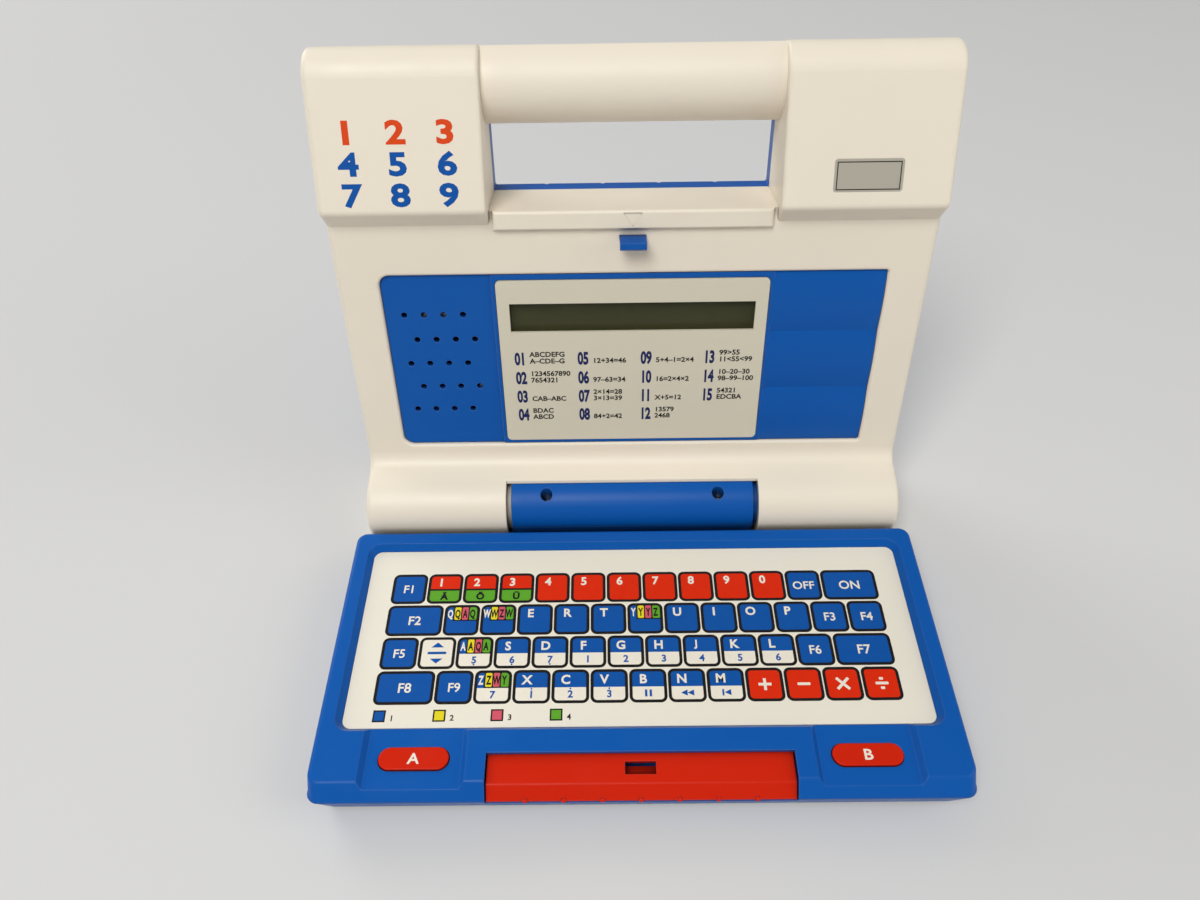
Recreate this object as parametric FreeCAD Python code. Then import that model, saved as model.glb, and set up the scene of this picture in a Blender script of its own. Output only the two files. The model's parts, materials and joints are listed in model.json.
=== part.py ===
import FreeCAD, Part
import math
import os
from FreeCAD import Vector

os.makedirs("parts", exist_ok=True)

# A toy laptop computer, standing open on a table. Millimetres, +Z up, +Y to the back, +X to the right.
# Work frame: the hinge axis runs along X at Y = 0, and the table is at Z = 0.
# The lid is modelled upright about the hinge axis (Z up the lid, +Y to its back) and then leaned back.

# Driving dimensions: base
BASE_WIDTH = 270.0
DECK_DEPTH = 124.0
AXIS_BEHIND_DECK = 21.0
RIM_ABOVE_AXIS = 3.5
RIM_WIDTH = 7.0
FRONT_STRIP = 21.5
FRONT_BEVEL = 6.25
BASE_CORNER = 5.0
RIM_ROUND = 2.0
BASE_WALL = 2.0
BASE_FLOOR = 2.2
BASE_TAPER = 4.0
REAR_TAPER = 1.0
BOTTOM_ROUND = 2.5
FOOT_DROP = 1.2
FOOT_RADIUS = 6.0
FOOT_SINK = 0.8
FOOT_INSET = 18.0

# Driving dimensions: keyboard
KEY_DEPTH = 3.5
KEY_SLOPE = 2.4
KEY_CORNER = 4.0
OVERLAY_THICK = 0.4
MEMBRANE_THICK = 0.5
KEY_FLOOR = 1.6
SHEET_GAP = 0.15

# Driving dimensions: player buttons
BUTTON_FROM_FRONT = 10.2
BUTTON_LENGTH = 29.0
BUTTON_WIDTH = 9.4
BUTTON_RISE = 1.0
BUTTON_TRAVEL = 1.0
BUTTON_GAP = 0.35
BUTTON_FLANGE = 1.6
BUTTON_FLANGE_THICK = 1.2
BUTTON_PLUNGER = 2.5
HOLLOW_PAST = 10.0
HOLLOW_MARGIN = 20.5
HOLLOW_DEPTH = 2.4
HOLLOW_SLOPE = 2.2
DOME_RADIUS = 4.5
DOME_HEIGHT = 4.0
DOME_WALL = 1.0
BUTTON_BOARD_LENGTH = 34.0
BUTTON_BOARD_WIDTH = 14.0
BOARD_THICK = 1.6
KEYBOARD_BOARD_LENGTH = 70.0
KEYBOARD_BOARD_WIDTH = 26.0
TAIL_WIDTH = 18.0
TAIL_SOCKET = 3.0

# Driving dimensions: latch
LATCH_PAST = 1.5
LATCH_DEPTH = 11.7
LATCH_SIDE_GAP = 0.5
LATCH_SLOPE = 0.7
LATCH_DROP = 6.3
LATCH_PROUD = 0.7
LATCH_WALL = 2.0
LATCH_TONGUE = 4.5
LATCH_TRAVEL = 2.6
LATCH_ROUND = 1.5
LATCH_TOE_ROUND = 1.0
LATCH_STOP_GAP = 1.0
LATCH_GAP = 0.3
LATCH_EAR = 4.5
LATCH_EAR_DEPTH = 2.4
SLOT_WIDTH = 12.6
SLOT_FLOOR = 1.2
GRIP_COUNT = 7
GRIP_PITCH = 15.6
GRIP_RADIUS = 1.1
GRIP_INSET = 1.6
SPRING_X = 40.0
SPRING_RADIUS = 2.4
SPRING_WIRE = 0.8
SPRING_TURNS = 4

# Driving dimensions: hinge
KNUCKLE_RADIUS = 18.0
HEEL_GAP = 0.2
LIP_THICK = 1.5
BARREL_SHORT = 3.0
BARREL_WALL = 2.4
BARREL_GAP = 0.3
NECK_GAP = 2.2
SPACER_THICK = 2.2
SPACER_RADIUS = 13.5
PIN_RADIUS = 5.0
PIN_BORE = 3.0
PIN_GAP = 0.06
PIN_FLANGE = 2.0
BEARING_LENGTH = 9.0
BEARING_WALL = 3.0
LIP_REACH = 5.5
COVER_SCREW_INSET = 17.3
COVER_SCREW_FORWARD = 7.0
COVER_SCREW_SEAT = 5.0
COVER_HOLE = 6.0
COVER_BOSS_WALL = 1.5

# Driving dimensions: lid
LID_INSET = 4.0
HAND_WIDTH = 122.0
LEAN = 13.7
LID_CLEAR = 2.25
SEAM_BACK = 32.0
LID_BACK = 40.0
BLOCK_HEIGHT = 62.8
LID_WALL = 2.4
RAMP_ANGLE = 25.0
CREASE_RADIUS = 8.0
LEDGE_PAST = 5.4
LEDGE_SHORT = 3.5
LEDGE_RISE = 2.5
LEDGE_ROUND = 1.2
LEDGE_INSET = 1.5
LEDGE_END_ROUND = 2.0
STEP_GAP = 1.0
BLOCK_PAST = 1.5
BLOCK_TILT = 12.5
BLOCK_ROUND = 3.2
BLOCK_INNER_ROUND = 1.5
BLOCK_TOP_ROUND = 12.0
TOP_SLOPE = 13.0
LID_EDGE_ROUND = 3.0
BACK_EDGE_ROUND = 3.5
HAND_CORNER = 1.0
BAR_RADIUS = 16.0
BAR_DROP = 18.2
BAR_AHEAD = 3.7
BAR_STEP = 0.4
ARROW_WIDTH = 8.1
ARROW_HEIGHT = 6.1
ARROW_DROP = 1.0
ARROW_DEPTH = 0.5
GROOVE_PITCH = 25.3
GROOVE_COUNT = 10
GROOVE_WIDTH = 1.6
GROOVE_DEPTH = 0.8

# Driving dimensions: screen
SURROUND_MARGIN = 19.0
SURROUND_RISE = 14.0
SURROUND_DROP = 24.0
SURROUND_SINK = 2.0
SURROUND_THICK = 2.2
SURROUND_LIP = 3.0
SURROUND_GAP = 0.25
SURROUND_CORNER = 5.0
TIGHT_CORNER = 1.2
OPENING_ROUND = 1.4
FRAME_WIDTH = 125.6
FRAME_RISE = 1.0
FRAME_CORNER = 1.0
PLATE_MARGIN = 1.9
PLATE_DROP = 2.8
PLATE_THICK = 1.3
PLATE_PROUD = 0.5
PLATE_CORNER = 2.5
WINDOW_MARGIN = 5.5
WINDOW_DROP = 11.2
WINDOW_HEIGHT = 14.2
WINDOW_LAP = 1.5
GLASS_LAP = 4.0
GLASS_THICK = 2.8
DISPLAY_FRAME_WALL = 2.0
STRIP_HEIGHT = 2.0
BOARD_OFFSET = 4.05
MAIN_BOARD_MARGIN = 2.8
MAIN_BOARD_RISE = 8.0
MAIN_BOARD_OVER = 3.0
CHIP_SIDE = 24.0
CHIP_THICK = 2.6
CHIP_PLACE = 20.0
LONG_CHIP = 36.0
LONG_CHIP_WIDTH = 9.0
CRYSTAL_LENGTH = 8.0
CRYSTAL_WIDTH = 4.0
CRYSTAL_RISE = 18.0
CAPACITOR_RADIUS = 4.0
CAPACITOR_HEIGHT = 9.0
POST_RADIUS = 3.0
POST_INSET = 4.5
POST_FLOOR = 1.0
BOARD_CORNER = 2.0
FACET_COUNT = 3
FACET_RISE = 1.6
FACET_BASE = 0.3
FACET_SINK = 0.5

# Driving dimensions: speaker
SPEAKER_CLEAR = 2.2
SPEAKER_RADIUS = 25.0
SPEAKER_FLANGE = 1.4
SPEAKER_DEPTH = 11.0
SPEAKER_EDGE = 2.0
SPEAKER_SHEET = 1.0
MAGNET_RADIUS = 13.0
MAGNET_THICK = 7.0
CONE_THICK = 0.6
HOLE_DIAMETER = 2.9
HOLE_PITCH = 8.9
HOLE_ROW_PITCH = 12.45
HOLE_ROWS = 5
HOLES_PER_ROW = 4
HOLE_STAGGER = 4.4
HOLE_SHIFT = 2.15

# Driving dimensions: batteries
CELL_DIAMETER = 14.5
CELL_LENGTH = 50.0
CELL_COUNT = 4
CELL_GAP = 0.5
CELL_RISE = 11.0
BOX_MARGIN = 5.5
BOX_WALL = 1.4
CONTACT_THICK = 0.5
CONTACT_SPRING = 4.0
CONTACT_INSET = 1.0
CONTACT_SPRING_THICK = 0.8
NIPPLE_LENGTH = 1.2
NIPPLE_RADIUS = 2.7
DOOR_THICK = 2.0
DOOR_GAP = 0.3
DOOR_CORNER = 2.0

# Driving dimensions: hook and plate
HOOK_WIDTH = 11.4
HOOK_PAST = 3.5
HOOK_THICK = 2.0
HOOK_LIP = 2.2
HOOK_LIP_THICK = 2.6
HOOK_SLACK = 0.55
HOOK_FLANGE = 4.0
HOOK_GAP = 0.1
HOOK_JOIN = 0.5
NAME_INSET = 35.5
NAME_RISE = 12.7
NAME_LENGTH = 28.2
NAME_WIDTH = 13.0
NAME_THICK = 0.8
NAME_CORNER = 1.2

# Driving dimensions: screws and cables
SCREW_RADIUS = 1.4
SCREW_HEAD = 2.75
SCREW_HEAD_THICK = 2.0
SCREW_GAP = 0.08
SCREW_BITE = 8.0
SCREW_SHORT = 1.0
SCREW_SEAT = 2.0
BOSS_RADIUS = 3.8
LID_SCREW_INSET = 9.0
LID_SCREW_LOW = 20.0
CABLE_RADIUS = 1.6
CABLE_BEND = 5.0
CABLE_X = -12.0
CABLE_LIFT = 1.5
CABLE_GAP = 1.0
CABLE_TURN = 19.8

# Places worked out from the driving dimensions: hinge and base
LID_WIDTH = BASE_WIDTH - 2 * LID_INSET
HALF_BASE = BASE_WIDTH / 2
HALF_LID = LID_WIDTH / 2
BLOCK_INNER = HAND_WIDTH / 2
HALF_BARREL = (HAND_WIDTH - BARREL_SHORT) / 2
BARREL_RADIUS = KNUCKLE_RADIUS - LIP_THICK - BARREL_GAP
KNUCKLE_INNER = HALF_BARREL + BARREL_GAP + SPACER_THICK
AXIS_HEIGHT = KNUCKLE_RADIUS + HEEL_GAP
NECK_HEIGHT = AXIS_HEIGHT - LIP_REACH - NECK_GAP
COVER_SCREW_X = HALF_BARREL - COVER_SCREW_INSET
LEAN_SIN = math.sin(math.radians(LEAN))
LEAN_COS = math.cos(math.radians(LEAN))
RIM_HEIGHT = AXIS_HEIGHT + RIM_ABOVE_AXIS
BASE_SEAM = RIM_HEIGHT - FRONT_BEVEL
REACH = AXIS_BEHIND_DECK + DECK_DEPTH
DECK_REAR = -AXIS_BEHIND_DECK
DECK_FRONT = -REACH
BASE_TOE = DECK_FRONT - FRONT_BEVEL
BASE_INSIDE = FOOT_DROP + BASE_FLOOR
KEY_REAR = DECK_REAR - RIM_WIDTH
KEY_FRONT = DECK_FRONT + FRONT_STRIP
KEY_HALF = HALF_BASE - RIM_WIDTH
OVERLAY_TOP = RIM_HEIGHT - KEY_DEPTH
KEY_FLOOR_TOP = OVERLAY_TOP - OVERLAY_THICK - MEMBRANE_THICK
KEY_FLOOR_LOW = KEY_FLOOR_TOP - KEY_FLOOR
HOLLOW_INNER = BLOCK_INNER + HOLLOW_PAST
HOLLOW_OUTER = HALF_BASE - HOLLOW_MARGIN
HOLLOW_FLOOR = RIM_HEIGHT - HOLLOW_DEPTH
HOLLOW_LOW = HOLLOW_FLOOR - BASE_WALL
BUTTON_X = (HOLLOW_INNER + HOLLOW_OUTER) / 2
BUTTON_Y = DECK_FRONT + BUTTON_FROM_FRONT

# Places worked out: latch
LATCH_HALF = BLOCK_INNER + LATCH_PAST
LATCH_REAR = DECK_FRONT + LATCH_DEPTH
LATCH_TOP = RIM_HEIGHT - BASE_WALL - LATCH_GAP
LATCH_LOW = LATCH_TOP - LATCH_SLOPE - LATCH_DROP
HOOK_HEIGHT = REACH - LATCH_DEPTH + HOOK_PAST
HOOK_TOP = HOOK_HEIGHT + HOOK_THICK
HOOK_REACH = LID_CLEAR + BASE_WALL + LATCH_GAP + LATCH_WALL + HOOK_SLACK + HOOK_LIP_THICK
SLOT_REAR = -HOOK_HEIGHT + LATCH_GAP
SLOT_FRONT = -HOOK_TOP - LATCH_GAP - LATCH_TRAVEL
LATCH_BACK = SLOT_REAR + LATCH_GAP
SPRING_WALL = KEY_FRONT - 2 * BASE_WALL - LATCH_GAP
SPRING_LENGTH = SPRING_WALL - LATCH_BACK

# Places worked out: lid
FACE_BACK = RIM_ABOVE_AXIS + LID_CLEAR
FACE_INSIDE = FACE_BACK + LID_WALL
COVER_INSIDE = LID_BACK - LID_WALL
LEDGE_TOP = REACH + LEDGE_PAST
LEDGE_FOOT = REACH - LEDGE_SHORT
STEP_LINE = REACH + RIM_ABOVE_AXIS + STEP_GAP * math.sqrt(2)
STEP_FOOT = STEP_LINE - FACE_BACK
BLOCK_FRONT = FACE_BACK - FRONT_BEVEL - BLOCK_PAST
BLOCK_EDGE = STEP_LINE - BLOCK_FRONT
BLOCK_LEAN = math.tan(math.radians(BLOCK_TILT))
TOP_FALL = math.tan(math.radians(TOP_SLOPE))
LID_TOP = BLOCK_EDGE + BLOCK_HEIGHT
BAR_HEIGHT = LID_TOP - BAR_DROP
BAR_BACK = SEAM_BACK - BAR_AHEAD
BAR_LOW = BAR_HEIGHT - BAR_RADIUS
NAME_X = HALF_LID - NAME_INSET
NAME_HEIGHT = BLOCK_EDGE + NAME_RISE
LID_SCREW_X = HALF_LID - LID_SCREW_INSET

# Places worked out: screen, speaker and batteries
SURROUND_WIDTH = LID_WIDTH - 2 * SURROUND_MARGIN
SURROUND_LOW = KNUCKLE_RADIUS + SURROUND_RISE
SURROUND_HIGH = REACH - SURROUND_DROP
SURROUND_FRONT = FACE_BACK + SURROUND_SINK
SURROUND_BACK = FACE_INSIDE + SURROUND_THICK
PLATE_WIDTH = FRAME_WIDTH - 2 * PLATE_MARGIN
PLATE_LOW = SURROUND_LOW + PLATE_MARGIN
PLATE_HIGH = SURROUND_HIGH - PLATE_DROP
PLATE_FRONT = SURROUND_FRONT - FRAME_RISE - PLATE_PROUD
PLATE_BACK = PLATE_FRONT + PLATE_THICK
WINDOW_WIDTH = PLATE_WIDTH - 2 * WINDOW_MARGIN
WINDOW_HIGH = PLATE_HIGH - WINDOW_DROP
WINDOW_LOW = WINDOW_HIGH - WINDOW_HEIGHT
BOARD_FRONT = SURROUND_BACK + BOARD_OFFSET
BOARD_BACK = BOARD_FRONT + BOARD_THICK
MAIN_BOARD_WIDTH = FRAME_WIDTH - 2 * MAIN_BOARD_MARGIN
MAIN_BOARD_LOW = SURROUND_LOW + MAIN_BOARD_RISE
MAIN_BOARD_HIGH = WINDOW_HIGH + GLASS_LAP + DISPLAY_FRAME_WALL + MAIN_BOARD_OVER
SPEAKER_X = -FRAME_WIDTH / 2 - SPEAKER_RADIUS - SPEAKER_CLEAR
SPEAKER_HEIGHT = (SURROUND_LOW + SURROUND_HIGH) / 2
CELL_PITCH = CELL_DIAMETER + CELL_GAP
CELL_AXIS = LID_BACK - DOOR_THICK - CELL_GAP - CELL_DIAMETER / 2
CELL_ROW = CELL_PITCH * CELL_COUNT
CELL_LOW = SURROUND_LOW + CELL_RISE
BOX_RIGHT = HALF_LID - BOX_MARGIN
BOX_LEFT = BOX_RIGHT - CELL_ROW
CELL_MIDDLE_X = (BOX_LEFT + BOX_RIGHT) / 2
BOX_LOW = CELL_LOW - CONTACT_SPRING - CONTACT_THICK
BOX_HIGH = CELL_LOW + CELL_LENGTH + NIPPLE_LENGTH + CONTACT_THICK
BOX_FRONT = CELL_AXIS - CELL_DIAMETER / 2 - CELL_GAP / 2

PIECES = {}


def unit(vector):
    return vector.multiply(1.0 / vector.Length)


def rounded_wire(corners):
    """A closed wire through (point, radius) corners, with an arc in each corner that has a radius."""
    runs = []
    count = len(corners)
    for index in range(count):
        before = corners[index - 1][0]
        corner, radius = corners[index]
        after = corners[(index + 1) % count][0]
        if radius <= 0:
            runs.append((corner, None, corner))
            continue
        back = unit(before - corner)
        ahead = unit(after - corner)
        half_turn = back.getAngle(ahead) / 2
        reach = radius / math.tan(half_turn)
        middle = corner + unit(back + ahead) * (radius / math.sin(half_turn) - radius)
        runs.append((corner + back * reach, middle, corner + ahead * reach))
    edges = []
    for index in range(count):
        start, middle, end = runs[index]
        if middle is not None:
            edges.append(Part.Arc(start, middle, end).toShape())
        following = runs[(index + 1) % count][0]
        if (following - end).Length > 1e-6:
            edges.append(Part.makeLine(end, following))
    return Part.Wire(edges)


def along_x(corners, left, right):
    """A prism along X whose section has (y, z, radius) corners."""
    wire = rounded_wire([(Vector(left, y, z), radius) for y, z, radius in corners])
    return Part.Face(wire).extrude(Vector(right - left, 0, 0))


def along_y(corners, front, back):
    """A prism along Y whose section has (x, z, radius) corners."""
    wire = rounded_wire([(Vector(x, front, z), radius) for x, z, radius in corners])
    return Part.Face(wire).extrude(Vector(0, back - front, 0))


def along_z(corners, low, high):
    """A prism along Z whose section has (x, y, radius) corners."""
    wire = rounded_wire([(Vector(x, y, low), radius) for x, y, radius in corners])
    return Part.Face(wire).extrude(Vector(0, 0, high - low))


def tapered(low_corners, low, high_corners, high):
    """A solid between two outlines of the same kind at two heights."""
    wires = []
    for corners, height in ((low_corners, low), (high_corners, high)):
        wires.append(rounded_wire([(Vector(x, y, height), radius) for x, y, radius in corners]))
    return Part.makeLoft(wires, True, True)


def rectangle(left, right, low, high, radius=0.0):
    return [(left, low, radius), (right, low, radius), (right, high, radius), (left, high, radius)]


def box(left, right, front, back, low, high):
    return Part.makeBox(right - left, back - front, high - low, Vector(left, front, low))


def rod(radius, start, direction, length):
    return Part.makeCylinder(radius, length, start, direction)


def upright(radius, x, y, low, high):
    return rod(radius, Vector(x, y, low), Vector(0, 0, 1), high - low)


def crosswise(radius, x, z, front, back):
    return rod(radius, Vector(x, front, z), Vector(0, 1, 0), back - front)


def axle(radius, left, right, y, z):
    return rod(radius, Vector(left, y, z), Vector(1, 0, 0), right - left)


def joined(shapes):
    return shapes[0].multiFuse(shapes[1:]).removeSplitter()


def inset(corners, distances):
    """The outline moved inwards, each side by its own distance. Side i runs from corner i to the next."""
    count = len(corners)
    area = 0.0
    for index in range(count):
        a, b = corners[index], corners[(index + 1) % count]
        area += a[0] * b[1] - b[0] * a[1]
    hand = 1.0 if area > 0 else -1.0
    sides = []
    for index in range(count):
        a, b = corners[index], corners[(index + 1) % count]
        length = math.hypot(b[0] - a[0], b[1] - a[1])
        along = ((b[0] - a[0]) / length, (b[1] - a[1]) / length)
        inward = (-along[1] * hand, along[0] * hand)
        sides.append((a[0] + inward[0] * distances[index], a[1] + inward[1] * distances[index], along))
    moved = []
    for index in range(count):
        x1, y1, d1 = sides[index - 1]
        x2, y2, d2 = sides[index]
        turn = d1[0] * d2[1] - d1[1] * d2[0]
        step = ((x2 - x1) * d2[1] - (y2 - y1) * d2[0]) / turn
        change = distances[index] if turn * hand < 0 else -distances[index]
        radius = corners[index][2]
        moved.append((x1 + d1[0] * step, y1 + d1[1] * step, max(radius + change, 0.0) if radius > 0 else 0.0))
    return moved


def fillet(shape, radius, wanted):
    """Round the edges for which wanted(edge) holds."""
    return shape.makeFillet(radius, [edge for edge in shape.Edges if wanted(edge)])


def all_points(edge, test):
    return all(test(vertex.Point) for vertex in edge.Vertexes)


def near(value, target):
    return abs(value - target) < 1e-4


def mirrored(shape):
    return shape.mirror(Vector(0, 0, 0), Vector(1, 0, 0))


def screw(point, direction, bite):
    """A pan-head screw: the head's seat is at the point and the shank runs along the direction."""
    head = rod(SCREW_HEAD, point, direction * -1, SCREW_HEAD_THICK)
    slot_deep = SCREW_HEAD_THICK / 2
    shank = rod(SCREW_RADIUS, point, direction, bite)
    socket = rod(SCREW_RADIUS / 2, point - direction * SCREW_HEAD_THICK, direction, slot_deep)
    return head.fuse(shank).cut(socket)


def cable(points):
    """A round cable along straight runs joined by tangent arcs."""
    edges = []
    start = points[0]
    for index in range(1, len(points) - 1):
        corner = points[index]
        back = unit(points[index - 1] - corner)
        ahead = unit(points[index + 1] - corner)
        half_turn = back.getAngle(ahead) / 2
        reach = CABLE_BEND / math.tan(half_turn)
        middle = corner + unit(back + ahead) * (CABLE_BEND / math.sin(half_turn) - CABLE_BEND)
        edges.append(Part.makeLine(start, corner + back * reach))
        edges.append(Part.Arc(corner + back * reach, middle, corner + ahead * reach).toShape())
        start = corner + ahead * reach
    edges.append(Part.makeLine(start, points[-1]))
    ring = Part.makeCircle(CABLE_RADIUS, points[0], points[1] - points[0])
    return Part.Wire(edges).makePipeShell([Part.Wire([ring])], True, False)


def base_outline(shrink, rear_shrink):
    """Plan of the base at a level, drawn in from the widest outline."""
    half = HALF_BASE - shrink
    return rectangle(-half, half, BASE_TOE + shrink, DECK_REAR - rear_shrink, BASE_CORNER)


def base_boss_places():
    """Where the deck is screwed to the bottom case."""
    side = KEY_HALF - 7 * BOSS_RADIUS
    rows = (KEY_REAR - 2 * BOSS_RADIUS, KEY_FRONT + 2 * BOSS_RADIUS)
    return [(x, y) for x in (-side, 0.0, side) for y in rows]


def foot_places():
    rows = (DECK_REAR - FOOT_INSET, BASE_TOE + FOOT_INSET)
    return [(x, y) for x in (-HALF_BASE + FOOT_INSET, HALF_BASE - FOOT_INSET) for y in rows]


def stadium(length, width, low, high, x, y):
    """An upright solid with round ends."""
    corners = rectangle(x - length / 2, x + length / 2, y - width / 2, y + width / 2, width / 2 - 1e-3)
    return along_z(corners, low, high)


def deck_shell():
    side = [(DECK_REAR, BASE_SEAM, 0), (DECK_REAR, RIM_HEIGHT, 0), (DECK_FRONT, RIM_HEIGHT, 0),
            (BASE_TOE, BASE_SEAM, 0)]
    solid = along_x(side, -HALF_BASE, HALF_BASE)
    corner_edges = lambda edge: all_points(edge, lambda p: near(abs(p.x), HALF_BASE)) and not near(
        edge.Vertexes[0].Z, edge.Vertexes[1].Z)
    solid = fillet(solid, BASE_CORNER, corner_edges)
    solid = fillet(solid, RIM_ROUND, lambda edge: all_points(edge, lambda p: near(p.z, RIM_HEIGHT)))
    hollow = along_x(inset(side, [BASE_WALL, BASE_WALL, BASE_WALL, 0]), -HALF_BASE + BASE_WALL,
                     HALF_BASE - BASE_WALL)
    tray_block = box(-KEY_HALF - BASE_WALL, KEY_HALF + BASE_WALL, KEY_FRONT - BASE_WALL, KEY_REAR + BASE_WALL,
                     KEY_FLOOR_LOW, RIM_HEIGHT)
    hollow = hollow.cut(tray_block)
    for sign in (-1, 1):
        inner = HOLLOW_INNER - BASE_WALL
        outer = HOLLOW_OUTER + BASE_WALL
        left, right = sorted((sign * inner, sign * outer))
        hollow = hollow.cut(box(left, right, BASE_TOE, KEY_FRONT, HOLLOW_LOW, RIM_HEIGHT))
    solid = solid.cut(hollow)
    tray = rectangle(-KEY_HALF, KEY_HALF, KEY_FRONT, KEY_REAR, KEY_CORNER + KEY_SLOPE)
    sheet = rectangle(-KEY_HALF + KEY_SLOPE, KEY_HALF - KEY_SLOPE, KEY_FRONT + KEY_SLOPE,
                      KEY_REAR - KEY_SLOPE, KEY_CORNER)
    solid = solid.cut(tapered(sheet, OVERLAY_TOP, tray, RIM_HEIGHT))
    solid = solid.cut(along_z(sheet, KEY_FLOOR_TOP, OVERLAY_TOP))
    for sign in (-1, 1):
        section = [(sign * HOLLOW_INNER, RIM_HEIGHT + HOLLOW_DEPTH, 0),
                   (sign * HOLLOW_OUTER, RIM_HEIGHT + HOLLOW_DEPTH, 0),
                   (sign * HOLLOW_OUTER, RIM_HEIGHT, 0),
                   (sign * (HOLLOW_OUTER - HOLLOW_SLOPE), HOLLOW_FLOOR, 0),
                   (sign * (HOLLOW_INNER + HOLLOW_SLOPE), HOLLOW_FLOOR, 0),
                   (sign * HOLLOW_INNER, RIM_HEIGHT, 0)]
        solid = solid.cut(along_y(section, BASE_TOE, KEY_FRONT + KEY_SLOPE))
        hole = stadium(BUTTON_LENGTH + 2 * BUTTON_GAP, BUTTON_WIDTH + 2 * BUTTON_GAP, HOLLOW_LOW,
                       HOLLOW_FLOOR, sign * BUTTON_X, BUTTON_Y)
        solid = solid.cut(hole)
    notch = LATCH_HALF + LATCH_SIDE_GAP
    solid = solid.cut(box(-notch, notch, BASE_TOE, LATCH_REAR, BASE_SEAM, RIM_HEIGHT))
    tail_half = TAIL_WIDTH / 2 + SHEET_GAP
    solid = solid.cut(box(-tail_half, tail_half, tail_place() - SHEET_GAP,
                          tail_place() + MEMBRANE_THICK + SHEET_GAP, KEY_FLOOR_LOW, KEY_FLOOR_TOP))
    bosses = []
    for x, y in base_boss_places():
        bosses.append(upright(BOSS_RADIUS, x, y, boss_joint(), KEY_FLOOR_LOW))
    solid = joined([solid] + bosses)
    for x, y in base_boss_places():
        solid = solid.cut(upright(SCREW_RADIUS + SCREW_GAP, x, y, boss_joint(), KEY_FLOOR_LOW))
    return solid


def boss_joint():
    """Height at which the deck's bosses stand on the bottom case's posts."""
    return KEY_FLOOR_LOW - SCREW_BITE


def tail_place():
    return KEY_REAR - 6 * BOSS_RADIUS - KEY_SLOPE


def keyboard_sheet(low, thick):
    corners = rectangle(-KEY_HALF + KEY_SLOPE + SHEET_GAP, KEY_HALF - KEY_SLOPE - SHEET_GAP,
                        KEY_FRONT + KEY_SLOPE + SHEET_GAP, KEY_REAR - KEY_SLOPE - SHEET_GAP,
                        KEY_CORNER - SHEET_GAP)
    return along_z(corners, low, low + thick)


def player_button(x):
    top = HOLLOW_FLOOR + BUTTON_RISE
    cap = stadium(BUTTON_LENGTH, BUTTON_WIDTH, HOLLOW_LOW, top, x, BUTTON_Y)
    cap = fillet(cap, BUTTON_RISE / 2, lambda edge: all_points(edge, lambda p: near(p.z, top)))
    flange = stadium(BUTTON_LENGTH + 2 * BUTTON_FLANGE, BUTTON_WIDTH + 2 * BUTTON_FLANGE,
                     HOLLOW_LOW - BUTTON_FLANGE_THICK, HOLLOW_LOW, x, BUTTON_Y)
    plunger = upright(BUTTON_PLUNGER, x, BUTTON_Y, plunger_end(), HOLLOW_LOW - BUTTON_FLANGE_THICK)
    return joined([cap, flange, plunger])


def plunger_end():
    return HOLLOW_LOW - BUTTON_FLANGE_THICK - BUTTON_TRAVEL


def button_board_top():
    return plunger_end() - DOME_HEIGHT


def button_dome(x):
    skirt = Part.makeCone(DOME_RADIUS, BUTTON_PLUNGER, DOME_HEIGHT, Vector(x, BUTTON_Y, button_board_top()))
    hollow = Part.makeCone(DOME_RADIUS - DOME_WALL, BUTTON_PLUNGER - DOME_WALL, DOME_HEIGHT - DOME_WALL,
                           Vector(x, BUTTON_Y, button_board_top()))
    return skirt.cut(hollow)


def button_board(x):
    half_length = BUTTON_BOARD_LENGTH / 2
    half_width = BUTTON_BOARD_WIDTH / 2
    return box(x - half_length, x + half_length, BUTTON_Y - half_width, BUTTON_Y + half_width,
               button_board_top() - BOARD_THICK, button_board_top())


def spring_height():
    return (LATCH_LOW + LATCH_TOP - LATCH_WALL) / 2


def keyboard_board_top():
    return KEY_FLOOR_LOW - 2 * TAIL_SOCKET


def keyboard_board_places():
    inner = KEYBOARD_BOARD_LENGTH / 2 - POST_INSET
    front = tail_place() - KEYBOARD_BOARD_WIDTH + 2 * POST_INSET
    return [(x, y) for x in (-inner, inner) for y in (front, tail_place() - POST_INSET / 2)]


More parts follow.
